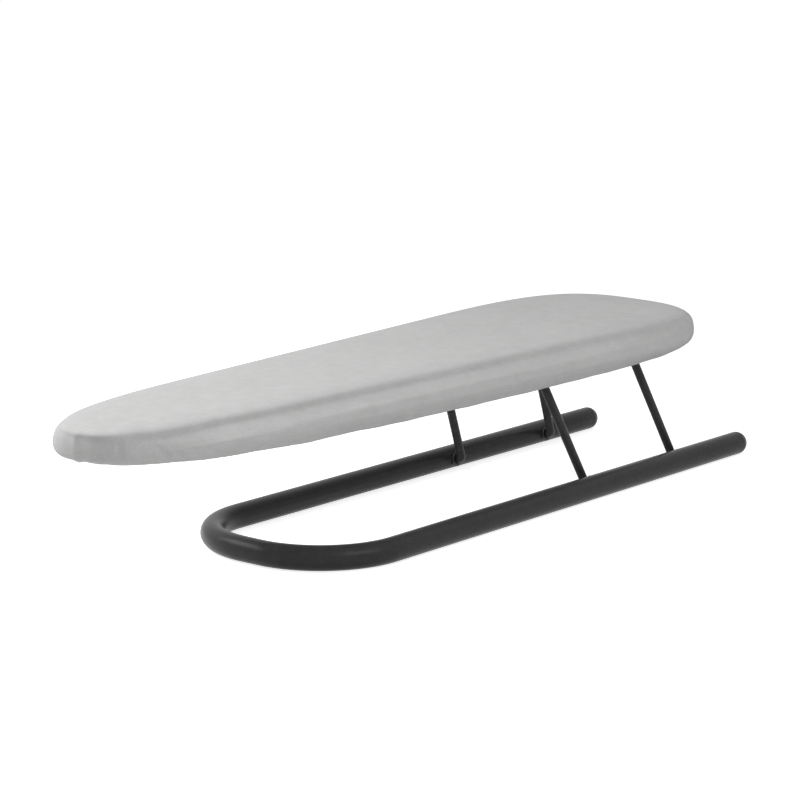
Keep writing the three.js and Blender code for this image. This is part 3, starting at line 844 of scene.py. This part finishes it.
# The side bulges below its crease along the straight runs and not round the two ends. These are the shares of
# the turn's and the straight run's shapes. The turn's shape fades at the wide end, most on the near side.
def side_amounts(stations, near):
    share = stations.share
    turn = smooth_step(share, *TURN_START_SHARES)
    far_loss = FAR_FADE_LOSS_SHARE * smooth_step(share, *FAR_FADE_SHARES) * (1 - near)
    near_loss = NEAR_FADE_LOSS_SHARE * smooth_step(share, *NEAR_FADE_SHARES) * near
    turn *= 1 - far_loss - near_loss
    side = smooth_step(share, *SIDE_START_SHARES) * (1 - smooth_step(share, *SIDE_END_SHARES))
    return turn[:, None], side[:, None]


def lower_edge_drop(share):
    taper = (SIDE_DEPTH_AT_WIDE_END - SIDE_DEPTH_AT_NOSE) * share
    return SIDE_DEPTH_AT_NOSE + taper + 4 * SIDE_BOW * share * (1 - share)


# The shapes that are blended along the edge, as control points (inset, drop) of the cover's outer face from
# the flat top to the hem. From SHARED_FROM on, a drop is a share of the side's depth. The pad goes down to
# BELLY_POINT.
TOP_INSET = 34.0
NOSE_NEAR = (
    (TOP_INSET, -0.5), (26, -0.47), (18, -0.36), (11, -0.18), (5.8, 0.15), (2.3, 0.8), (0.4, 1.75),
    (-0.25, 2.95), (-0.1, 4.3), (0.15, 5.6), (0.05, 7.0), (-0.1, 8.4), (-0.2, 9.9), (-0.25, 0.57),
    (-0.1, 0.68), (0.2, 0.81), (1.7, 0.94), (4.8, 1.0),
)
NOSE_FAR = (
    (TOP_INSET, -0.5), (28, -0.4), (23, -0.25), (19, -0.05), (15, 0.3), (11.5, 0.75), (8.2, 1.35),
    (5.6, 2.1), (3.8, 3.0), (2.4, 4.1), (1.4, 5.4), (0.7, 7.2), (0.3, 9.0), (0.1, 0.54), (0, 0.64),
    (0.5, 0.8), (2.0, 0.94), (4.8, 1.0),
)
TURN_NEAR = (
    (TOP_INSET, -0.6), (28, -0.58), (22, -0.42), (16.2, 0.05), (11.8, 0.95), (9.0, 2.2), (7.7, 3.5),
    (7.35, 4.8), (6.9, 6.0), (5.6, 7.1), (4.1, 8.3), (2.8, 9.7), (1.8, 11.4), (0.9, 0.62), (0.2, 0.74),
    (0.6, 0.86), (2.0, 0.94), (4.8, 1.0),
)
SIDE_NEAR = (
    (TOP_INSET, -0.7), (28, -0.5), (23, -0.05), (19.4, 0.6), (17.0, 1.4), (15.6, 2.3), (14.9, 3.3),
    (14.5, 4.45), (13.3, 5.45), (10.9, 6.7), (8.2, 8.05), (5.4, 9.4), (3.0, 10.8), (1.0, 0.535),
    (0.35, 0.625), (1.4, 0.76), (3.2, 0.9), (5.1, 1.0),
)
SIDE_FAR = (
    (TOP_INSET, -0.7), (28, -0.6), (23, -0.42), (19, -0.18), (15.5, 0.1), (12.4, 0.45), (9.9, 1.0),
    (8.0, 1.9), (6.9, 3.1), (6.2, 4.6), (5.5, 6.4), (4.3, 8.6), (2.7, 11.1), (1.0, 0.57), (0.1, 0.69),
    (0.2, 0.81), (1.6, 0.94), (4.8, 1.0),
)
TURN_FAR = tuple(((a[0] + b[0]) / 2, (a[1] + b[1]) / 2) for a, b in zip(NOSE_FAR, SIDE_FAR))
SHARED_FROM = 13
BELLY_POINT = 14


# The near side's shapes turn into the far side's in a band across the middle. At the nose it lies further
# over to the far side.
MIDDLE_BAND = 30.0
MIDDLE_BAND_SHIFT = 15.0
NOSE_HALF_SHARES = (0.3, 0.6)
HEM_CURL_ANGLES = (0, 45, 90, 135, 180, 225, 265)


# The insets and the drops of the control points, one row a station
def cover_controls(stations):
    depth = lower_edge_drop(stations.share)
    shift = MIDDLE_BAND_SHIFT * (1 - stations.share)
    near = smooth_step(-stations.place[:, 1], -MIDDLE_BAND - shift, MIDDLE_BAND - shift)
    turn_amount, side_amount = side_amounts(stations, near)
    near = near[:, None]

    def resolved(table):
        values = np.tile(np.transpose(table)[:, None, :], (1, stations.count, 1))
        values[1, :, SHARED_FROM:] *= depth[:, None]
        return values

    def blended(near_table, far_table, amount=near):
        return resolved(near_table) * amount + resolved(far_table) * (1 - amount)

    nose_half = 1 - smooth_step(stations.share, *NOSE_HALF_SHARES)[:, None]
    nose = blended(NOSE_NEAR, NOSE_FAR, near * nose_half)
    ends = nose * (1 - turn_amount) + blended(TURN_NEAR, TURN_FAR) * turn_amount
    side = ends * (1 - side_amount) + blended(SIDE_NEAR, SIDE_FAR) * side_amount
    curl = []
    for angle in np.radians(HEM_CURL_ANGLES):
        curl_inset = HEM_INSET + HEM_CURL_RADIUS * math.sin(angle) + np.zeros(stations.count)
        curl.append((curl_inset, depth - HEM_LIFT - HEM_CURL_RADIUS * (1 - math.cos(angle))))
    return np.concatenate([side, np.moveaxis(curl, 0, 2)], 2)


# Catmull-Rom through the columns of values, with that many steps a span
def spline_rows(values, steps):
    before = 2 * values[:, :1] - values[:, 1:2]
    after = 2 * values[:, -1:] - values[:, -2:-1]
    padded = np.concatenate([before, values, after], 1)
    rows = []
    for i in range(values.shape[1] - 1):
        a, b, c, d = (padded[:, i + k] for k in range(4))
        for step in range(steps):
            t = step / steps
            square = (2 * a - 5 * b + 4 * c - d) * t * t
            rows.append((2 * b + (c - a) * t + square + (3 * b - a - 3 * c + d) * t ** 3) / 2)
    rows.append(values[:, -1])
    return np.stack(rows)


# Outward unit normals of a grid of (row, station, 3) that closes along its stations
def grid_normals(grid):
    down = np.gradient(grid, axis=0)
    along = np.roll(grid, -1, axis=1) - np.roll(grid, 1, axis=1)
    normals = np.cross(along, -down)
    normals /= np.linalg.norm(normals, axis=2)[:, :, None]
    return normals


RIPPLE_WAVES = 22
RIPPLE_LENGTH_SHARES = (0.65, 1.6)


# Smooth noise over points in a plane or in space. Its mean square is one before the height.
def ripple(points, height, wavelength, seed):
    chance = np.random.default_rng(seed)
    total = np.zeros(points.shape[:-1])
    for _ in range(RIPPLE_WAVES):
        direction = chance.normal(size=points.shape[-1])
        direction /= np.linalg.norm(direction)
        length = wavelength * chance.uniform(*RIPPLE_LENGTH_SHARES)
        total += np.sin((points @ direction) * 2 * math.pi / length + chance.uniform(0, 2 * math.pi))
    return height * (total / math.sqrt(RIPPLE_WAVES / 2))


PROFILE_STEPS = 3
SEAM_ROWS_ABOVE_CURL = 2

# How tightly the cloth is gathered along the sides, and where the full gathers of the two ends start and end
SIDE_GATHER_SHARE = 0.16
NOSE_GATHER_SHARES = (0.10, 0.30)
WIDE_GATHER_SHARES = (0.80, 0.93)

# The gathers at the hem. Each pair is the least and the most that chance gives.
GATHER_SEED = 7
GATHER_PITCH = (3.6, 6.4)
GATHER_PITCH_SHARE = 0.45
GATHER_DEPTH = (0.2, 0.65)
GATHER_WIDTH = (1.2, 1.9)
SHORT_REACH = (1.5, 3.5)
LONG_REACH = (5.0, 9.0)
SHORT_REACH_SHARE = 0.85
GATHER_SLANT_SHARE = 0.22
GATHER_SPREAD_SHARE = 0.16
GATHER_FADE_POWER = 1.5
GATHER_BELOW_REACH = 9.0
LAST_GATHER_GAP = 3.0

# The gathers deepen in the hem's curl, between these two distances past the seam
CURL_RANGE = (0.5, 4.0)
CURL_GAIN_SHARE = 1.4

# The slow ripple of the sides: its squash in height, and where it fades in and out down the profile
SIDE_RIPPLE_SQUASH_SHARE = 0.6
SIDE_RIPPLE_START = (26.0, 36.0)
SIDE_RIPPLE_END = (50.0, 58.0)

# How far the ends of a hand-made crease fade
CREASE_FADE = 2.0
CREASE_LOW_FADE = 3.0


class Cover:
    def __init__(self):
        self.stations = Stations(spacing=2.0)
        insets, drops = (spline_rows(values, PROFILE_STEPS) for values in cover_controls(self.stations))
        self.plain = np.stack([self.stations.points(i, IRONING_HEIGHT - d) for i, d in zip(insets, drops)])
        self.normals = grid_normals(self.plain)
        steps = np.linalg.norm(np.diff(self.plain, axis=0), axis=2)
        self.down = np.concatenate([np.zeros((1, self.stations.count)), np.cumsum(steps, axis=0)])
        self.drops = drops
        self.seam_row = len(NOSE_NEAR) * PROFILE_STEPS - SEAM_ROWS_ABOVE_CURL
        self.grid = self.plain + self.normals * self.folds()[:, :, None]

    def gathering(self):
        share = self.stations.share
        nose = 1 - smooth_step(share, *NOSE_GATHER_SHARES)
        wide = smooth_step(share, *WIDE_GATHER_SHARES)
        return SIDE_GATHER_SHARE + (1 - SIDE_GATHER_SHARE) * np.maximum(nose, wide)

    def folds(self):
        sides = smooth_step(self.down, *SIDE_RIPPLE_START) * (1 - smooth_step(self.down, *SIDE_RIPPLE_END))
        squashed = self.plain / [1, 1, SIDE_RIPPLE_SQUASH_SHARE]
        soft = ripple(squashed, height=0.13, wavelength=38.0, seed=3)
        return self.hem_gathers() + self.hand_made_creases() + soft * sides

    def hem_gathers(self):
        stations = self.stations
        chance = np.random.default_rng(GATHER_SEED)
        gather = self.gathering()
        hem_at = self.down[self.seam_row]
        above_hem = np.maximum(hem_at - self.down, 0)
        below_hem = np.maximum(self.down - hem_at, 0)
        below_fall = np.exp(-(below_hem / GATHER_BELOW_REACH) ** 2)
        curl_gain = 1 + CURL_GAIN_SHARE * smooth_step(below_hem, *CURL_RANGE)
        total = np.zeros_like(self.down)
        place = 0.0
        while place < stations.round_length - LAST_GATHER_GAP:
            local = np.interp(place, stations.along, gather)
            tightness = GATHER_PITCH_SHARE + (1 - GATHER_PITCH_SHARE) * local
            place += chance.uniform(*GATHER_PITCH) / tightness
            depth = chance.uniform(*GATHER_DEPTH) * local
            width = chance.uniform(*GATHER_WIDTH)
            reach = chance.uniform(*(SHORT_REACH if chance.random() < SHORT_REACH_SHARE else LONG_REACH))
            slant = chance.normal() * GATHER_SLANT_SHARE
            distance = stations.distance_from(place + slant * above_hem)
            spread_out = width + GATHER_SPREAD_SHARE * above_hem
            fall = np.exp(-(above_hem / reach) ** GATHER_FADE_POWER) * below_fall * curl_gain
            total -= depth * fall * np.exp(-(distance / spread_out) ** 2)
        return total

    def hand_made_creases(self):
        stations = self.stations
        past_half = stations.along >= stations.round_length / 2
        along = np.where(past_half, stations.along - stations.round_length, stations.along)
        total = np.zeros_like(self.down)
        for place, slant, width, depth, top, bottom in NOSE_CREASES:
            distance = along[None, :] - place - slant * (self.drops - (top + bottom) / 2)
            start = smooth_step(self.drops, top - CREASE_FADE, top + CREASE_FADE)
            end = smooth_step(self.drops, bottom - CREASE_FADE, bottom + CREASE_LOW_FADE)
            total += depth * (start * (1 - end)) * np.exp(-(distance / width) ** 2)
        return total


# The creases on the near side of the nose: place along the edge from the tip, slant, width, depth, and the
# drops of the top and the bottom
NOSE_CREASES = (
    (1.5, 0.0, 2.4, 0.7, 3, 21),
    (6.5, 0.0, 4.0, -0.4, 3, 21),
    (26.5, 0.03, 2.0, 0.5, 6, 15),
    (30.0, 0.0, 1.9, -0.9, 5, 15),
    (33.0, -0.03, 1.9, 0.6, 5, 15),
    (55.0, 0.72, 2.7, -0.9, 8, 17),
    (58.5, 0.72, 2.0, 0.8, 7, 17),
    (62.0, 0.8, 2.3, -0.8, 7, 17),
    (84.0, 1.1, 4.0, -0.4, 8, 18),
)
TOP_COLUMNS = 26
# The ripples of the flat top, each a height, a wavelength and a seed
TOP_RIPPLES = ((0.10, 70.0, 11), (0.035, 16.0, 12))
TOP_RISE_LIMIT = 0.25
TOP_CALM_MARGIN = 12.0


def cover_mesh(cover):
    stations = cover.stations
    rows = cover.grid.shape[0]
    faces = ring_faces(rows, stations.count)
    inner_start = rows * stations.count
    ring = cover.grid[0]
    row_ids, extra, edge_distance = [], [], []
    for near in range(stations.half_count):
        far = stations.opposite(near)
        ids = [near] * (TOP_COLUMNS + 1)
        if near != far:
            for k, t in enumerate(np.linspace(0, 1, TOP_COLUMNS + 1)[1:-1], 1):
                ids[k] = inner_start + len(extra)
                extra.append(ring[near] * (1 - t) + ring[far] * t)
                edge_distance.append(min(t, 1 - t) * np.linalg.norm(ring[far] - ring[near]))
            ids[-1] = far
        row_ids.append(ids)
    for a, b in zip(row_ids, row_ids[1:]):
        faces.extend(without_repeats(a[j], b[j], b[j + 1], a[j + 1]) for j in range(TOP_COLUMNS))
    extra = np.array(extra)
    points = np.concatenate([cover.grid.reshape(-1, 3), extra])
    end_distance = np.minimum(extra[:, 0] - ring[:, 0].min(), ring[:, 0].max() - extra[:, 0])
    calm = sum(ripple(extra[:, :2], *settings) for settings in TOP_RIPPLES)
    fade = smooth_step(np.minimum(edge_distance, end_distance), 0.0, TOP_CALM_MARGIN)
    points[inner_start:, 2] += np.minimum(calm, TOP_RISE_LIMIT) * fade
    return points, faces


# The cloth laid flat: the top as it is, and the side straight out from the outline
def flat_map(cover, obj):
    stations = cover.stations
    rows = cover.grid.shape[0]
    flat = np.zeros((len(obj.data.vertices), 2))
    for row in range(rows):
        reach = cover.down[row] - TOP_INSET
        here = slice(row * stations.count, (row + 1) * stations.count)
        flat[here] = stations.place + stations.out * reach[:, None]
    start = rows * stations.count
    places = np.array([v.co for v in obj.data.vertices]) / MM
    flat[start:] = places[start:, :2]
    layer = obj.data.uv_layers.new(name="flat")
    loops = np.zeros(len(obj.data.loops), int)
    obj.data.loops.foreach_get("vertex_index", loops)
    layer.data.foreach_set("uv", (flat[loops] * MM).ravel())


STITCH_PITCH = 3.0
STITCH_SHARE = 0.74
STITCH_PLACE_SHARES = (0.0, 0.12, 0.5, 0.88, 1.0)
STITCH_RADIUS_SHARES = (0.35, 0.85, 1.0, 0.85, 0.35)
STITCH_LIFT_SHARE = 0.6
THREAD_RADIUS = 0.22


def stitch_shape(start, end):
    line = np.array([start + (end - start) * share for share in STITCH_PLACE_SHARES])
    radii = np.array(STITCH_RADIUS_SHARES) * THREAD_RADIUS
    return capped_tube(tube_rings(line, radii, sides=6, up=(0.3, 0.2, 0.93)))


def hem_stitches(cover):
    row = cover.seam_row
    line = cover.grid[row] + cover.normals[row] * THREAD_RADIUS * STITCH_LIFT_SHARE
    line = np.concatenate([line, line[:1]])
    along = lengths_along(line)
    count = int(along[-1] / STITCH_PITCH)
    shapes = []
    for i in range(count):
        start = along[-1] * i / count
        shapes.append(stitch_shape(*(
            np.array([np.interp(s, along, line[:, axis]) for axis in range(3)])
            for s in (start, start + STITCH_PITCH * STITCH_SHARE)
        )))
    return joined(shapes)


def elastic_shape(stations):
    centre_z = IRONING_HEIGHT - lower_edge_drop(stations.share) + HEM_LIFT + HEM_CURL_RADIUS
    line = stations.points(HEM_INSET, centre_z)
    radii = [ELASTIC_RADIUS] * (len(line) + 1)
    return looped(tube_rings(np.concatenate([line, line[:1]]), radii, sides=12)[:-1])


def build_cover(cotton, thread, elastic):
    cover = Cover()
    shape = cover_mesh(cover)
    piece = make_object("ironing_cover", shape, cotton, "board", "cover_fabric", sharp_angle=None)
    flat_map(cover, piece)
    fix_normals(piece)
    thickness = piece.modifiers.new("cloth", "SOLIDIFY")
    thickness.thickness = COVER_THICKNESS * MM
    thickness.offset = -1
    apply_modifiers(piece)
    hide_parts("fabric_cover")
    stitches = make_object("hem_stitches", hem_stitches(cover), thread, "board", "cover_fabric")
    cord = make_solid("hem_cord", elastic_shape(cover.stations), elastic, "board", "elastic_cord")
    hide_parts("hem_elastic")
    return cover


# Pad

PAD_GAP = 0.2


# A piece from rings, closed by a flat face above the first and one below the last
def ringed_shape(stations, rings):
    faces = ring_faces(len(rings), stations.count)
    faces += strip_faces(stations, 0)
    faces += strip_faces(stations, (len(rings) - 1) * stations.count, faces_down=True)
    return np.concatenate(rings), faces


def build_pad(cover, felt):
    stations = cover.stations
    last = BELLY_POINT * PROFILE_STEPS
    normals = cover.normals[: last + 1]
    outer = cover.plain[: last + 1] - normals * (COVER_THICKNESS + PAD_GAP)
    skirt_z = outer[-1][:, 2]
    inner_inset = PANEL_INSET - SEAT_GAP
    lumps = np.abs(ripple(outer, height=0.08, wavelength=9.0, seed=21))
    outer = outer - normals * lumps[:, :, None]
    inner = [stations.points(inner_inset, z) for z in (skirt_z, PANEL_TOP_Z + SEAT_GAP)]
    shape = ringed_shape(stations, [*outer, *inner])
    pad = make_solid("felt_layer", shape, felt, "board", "pad_felt", sharp_angle=60.0)
    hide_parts("felt_pad")


# Panel

PANEL_TURN = 3.0
VENT_SIDES = 32
CUT_REACH = 3.0
LIP_WIDTH = 0.9
LIP_FOOT_WIDTH = 0.5
LIP_DEPTH = 0.9
LIP_INTO_PANEL = 0.4
SINK_ABOVE = 2.0


def vent_places():
    pivots = [foot_x - LEG_SETBACK for _, foot_x in LEGS]
    places = []
    x = NOSE_X + VENT_PITCH + VENT_EDGE_MARGIN
    while x < WIDE_END_X - VENT_PITCH:
        near_bracket = any(abs(pivot - x) < VENT_BRACKET_MARGIN for pivot in pivots)
        for row in (-1, 0, 1):
            y = row * VENT_ROW_SPACING
            if abs(y) + VENT_RADIUS + VENT_EDGE_MARGIN < half_width_at(x) and not near_bracket:
                places.append((x, y, PANEL_UNDERSIDE_Z))
        x += VENT_PITCH
    return places


def sink_shape():
    shank, head = RIVET_SHANK_RADIUS + SEAT_GAP, RIVET_HEAD_RADIUS + SEAT_GAP
    return lathe([
        (0, -CUT_REACH), (shank, -CUT_REACH), (shank, -RIVET_HEAD_DEPTH), (head, -RIVET_HEAD_RIM),
        (head, SINK_ABOVE), (0, SINK_ABOVE),
    ], sides=24)


def lip_shape():
    rim, foot = VENT_RADIUS + LIP_WIDTH, VENT_RADIUS + LIP_FOOT_WIDTH
    profile = rounded([
        (VENT_RADIUS, LIP_INTO_PANEL), (rim, LIP_INTO_PANEL), (rim, 0),
        (foot, -LIP_DEPTH), (VENT_RADIUS, -LIP_DEPTH),
    ], radius=0.3, steps=2, closed=True)
    return lathe(profile, VENT_SIDES, closed=True)


def build_panel(steel):
    stations = Stations(spacing=4.0)
    turn, inner = PANEL_INSET + PANEL_TURN, PANEL_INSET + PANEL_THICKNESS
    profile = rounded([
        (turn, PANEL_TOP_Z), (PANEL_INSET, PANEL_TOP_Z), (PANEL_INSET, RIM_BOTTOM_Z),
        (inner, RIM_BOTTOM_Z), (inner, PANEL_UNDERSIDE_Z), (turn, PANEL_UNDERSIDE_Z),
    ], radius=1.4)
    shape = ringed_shape(stations, [stations.points(inset, z) for inset, z in profile])
    panel = make_solid("pressed_panel", shape, steel, "board", "panel_steel")
    hole = drum(VENT_RADIUS, -CUT_REACH, CUT_REACH, VENT_SIDES)
    cutters = [placed(hole, place) for place in vent_places()]
    cutters += [placed(sink_shape(), (x, y, PANEL_TOP_Z)) for _, x, y in rivet_places()]
    cut_out(panel, joined(cutters))
    lips = joined([placed(lip_shape(), place) for place in vent_places()])
    make_solid("vent_lips", lips, steel, "board", "panel_steel")
    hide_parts("board_panel")


# Brackets and rivets

RIVET_TAIL_EDGE = 0.25
RIVET_TAIL_START_RADIANS = 0.15
RIVET_TAIL_STEPS = 9
BRACKET_NAMES = ("strap_near", "strap_far", "stop_near", "stop_far")
BRACKET_SHARP_ANGLE = 35.0


def strap_rivet_x():
    return ROD_BORE + STRIP_THICKNESS + STRAP_EAR_LENGTH / 2


def stop_rivet_x():
    lean = math.radians(LEG_LEAN)
    distance = ROD_BORE + STRIP_THICKNESS
    bottom = ROD_BORE - SEAT_GAP - STRIP_THICKNESS
    x, z = distance * math.cos(lean), distance * math.sin(lean)
    return x - (bottom - z) * math.tan(lean) + STOP_EAR_LENGTH / 2


# How far out from the middle the straps and the stops are
def bracket_rows():
    leg = Vector((LEG_SETBACK, FOOT_Y - CROSSBAR_HALF_WIDTH, -LEG_RISE)).normalized()
    turn = leg.angle(Vector((0, 1, 0)))
    straight_half = CROSSBAR_HALF_WIDTH - CROSSBAR_BEND_RADIUS * math.tan(turn / 2)
    strap_y = straight_half - STRAP_SIDE_PLAY - STRAP_WIDTH / 2
    share = STOP_REACH / math.hypot(LEG_RISE, LEG_SETBACK)
    return strap_y, CROSSBAR_HALF_WIDTH + (FOOT_Y - CROSSBAR_HALF_WIDTH) * share


def rivet_places():
    strap_y, stop_y = bracket_rows()
    places = []
    for leg_name, foot_x in LEGS:
        pivot = foot_x - LEG_SETBACK
        for side_name, side in NEAR_FAR:
            strap = f"{leg_name}_strap_rivet_{side_name}"
            places.append((f"{strap}_nose_side", pivot - strap_rivet_x(), side * strap_y))
            places.append((f"{strap}_wide_side", pivot + strap_rivet_x(), side * strap_y))
            places.append((f"{leg_name}_stop_rivet_{side_name}", pivot + stop_rivet_x(), side * stop_y))
    return places


def rivet_shape():
    tail_top = -(PANEL_THICKNESS + SEAT_GAP + STRIP_THICKNESS) - SEAT_GAP
    profile = [(0, tail_top - RIVET_TAIL_HEIGHT)]
    for angle in np.linspace(RIVET_TAIL_START_RADIANS, math.pi / 2, RIVET_TAIL_STEPS):
        below = (RIVET_TAIL_HEIGHT - RIVET_TAIL_EDGE) * math.cos(angle)
        profile.append((RIVET_TAIL_RADIUS * math.sin(angle), tail_top - RIVET_TAIL_EDGE - below))
    profile += [
        (RIVET_TAIL_RADIUS, tail_top), (RIVET_SHANK_RADIUS, tail_top),
        (RIVET_SHANK_RADIUS, -RIVET_HEAD_DEPTH),
        (RIVET_HEAD_RADIUS, -RIVET_HEAD_RIM), (RIVET_HEAD_RADIUS, 0), (0, 0),
    ]
    return lathe(profile, sides=32)


def build_rivets(steel):
    for name, x, y in rivet_places():
        shape = placed(rivet_shape(), (x, y, PANEL_TOP_Z))
        rivet = make_solid(f"{name}_fine", shape, steel, "board", "rivet_steel")
        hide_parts(name)


# The straps and stops keep their shapes, with zinc on them and eased edges
def finish_brackets(steel):
    for name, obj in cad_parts.items():
        if "rivet" in name or not any(part in name for part in BRACKET_NAMES):
            continue
        obj.data.materials.clear()
        obj.data.materials.append(steel)
        shade_smooth(obj.data, BRACKET_SHARP_ANGLE)
        edge = obj.modifiers.new("eased_edges", "BEVEL")
        edge.width = 0.22 * MM
        edge.segments = 2
        edge.limit_method = "ANGLE"
        edge.angle_limit = math.radians(BRACKET_SHARP_ANGLE)
        edge.harden_normals = True


# Surroundings. The floor's size is in millimetres, and the lamps are in metres and watts.

FLOOR_HALF_WIDTH = 6000.0
FLOOR_SHADE = 0.8
FLOOR_LIFT = 0.785
WORLD_LIGHT = 0.28
WHITE = (1, 1, 1, 1)

# Name: place, what it points at, width, height and power
LAMPS = {
    "back_softbox": ((-0.46, 0.48, 0.65), (-0.25, 0.0, 0.1), 0.5, 0.5, 5.5),
    "front_softbox": ((-0.1, -0.95, 0.8), (0.0, 0.0, 0.1), 0.8, 0.5, 4.65),
    "overhead_softbox": ((-0.1, -0.15, 1.1), (0.0, 0.0, 0.1), 0.6, 0.6, 0.4),
}


# One for the rays that show the background: those of the camera, of gloss and of glass
def background_rays(tree):
    paths = node(tree, "ShaderNodeLightPath").outputs
    mirrored = maths(tree, "MAXIMUM", paths["Is Glossy Ray"], paths["Is Transmission Ray"])
    return maths(tree, "MAXIMUM", paths["Is Camera Ray"], mirrored)


def floor_look(tree):
    return {
        "Base Color": (*grey(FLOOR_SHADE), 1),
        "Roughness": 0.9,
        "Specular IOR Level": 0.0,
        "Emission Color": WHITE,
        "Emission Strength": maths(tree, "MULTIPLY", background_rays(tree), FLOOR_LIFT),
    }


def build_stage():
    sides = ((-1, -1), (1, -1), (1, 1), (-1, 1))
    corners = [(x * FLOOR_HALF_WIDTH, y * FLOOR_HALF_WIDTH, 0) for x, y in sides]
    floor = add_object("floor", raw_mesh("floor", (corners, [(0, 1, 2, 3)])))
    floor.data.materials.append(material_of("pale_floor", floor_look))


def build_world():
    world = bpy.data.worlds.new("studio")
    bpy.context.scene.world = world
    world.use_nodes = True
    tree = world.node_tree
    tree.nodes.clear()
    strength = remap(tree, background_rays(tree), WHOLE_SHARES, WORLD_LIGHT, 1.0)
    background = node(tree, "ShaderNodeBackground", {"Color": WHITE, "Strength": strength})
    node(tree, "ShaderNodeOutputWorld", {"Surface": background.outputs[0]})


def build_lights():
    for name, (place, target, width, height, watts) in LAMPS.items():
        data = bpy.data.lights.new(name, "AREA")
        data.shape = "RECTANGLE"
        data.size = width
        data.size_y = height
        data.energy = watts
        lamp = add_object(name, data)
        lamp.location = place
        face_back(lamp, Vector(place) - Vector(target))


bpy.context.scene.view_settings.view_transform = "Standard"
paint = material_of("dark_powder_paint", paint_look)
build_tube(paint)
build_base_fittings(
    material_of("cap_plastic", plastic_look, shade=0.03, roughness=0.42),
    material_of("bush_nylon", plastic_look, shade=0.012, roughness=0.5),
)
build_legs(paint)
cover = build_cover(
    material_of("cover_cotton", cover_look), material_of("sewing_thread", thread_look),
    material_of("braided_elastic", elastic_look),
)
build_pad(cover, material_of("needled_felt", felt_look))
build_panel(material_of("galvanised_panel", steel_look, shade=0.52, roughness=0.38, brushed=(40, 900, 900)))
build_rivets(material_of("rivet_zinc", steel_look, shade=0.62, roughness=0.3, brushed=(300, 300, 300)))
finish_brackets(material_of("bracket_zinc", steel_look, shade=0.58, roughness=0.32, brushed=(900, 60, 900)))
build_stage()
build_world()
build_lights()
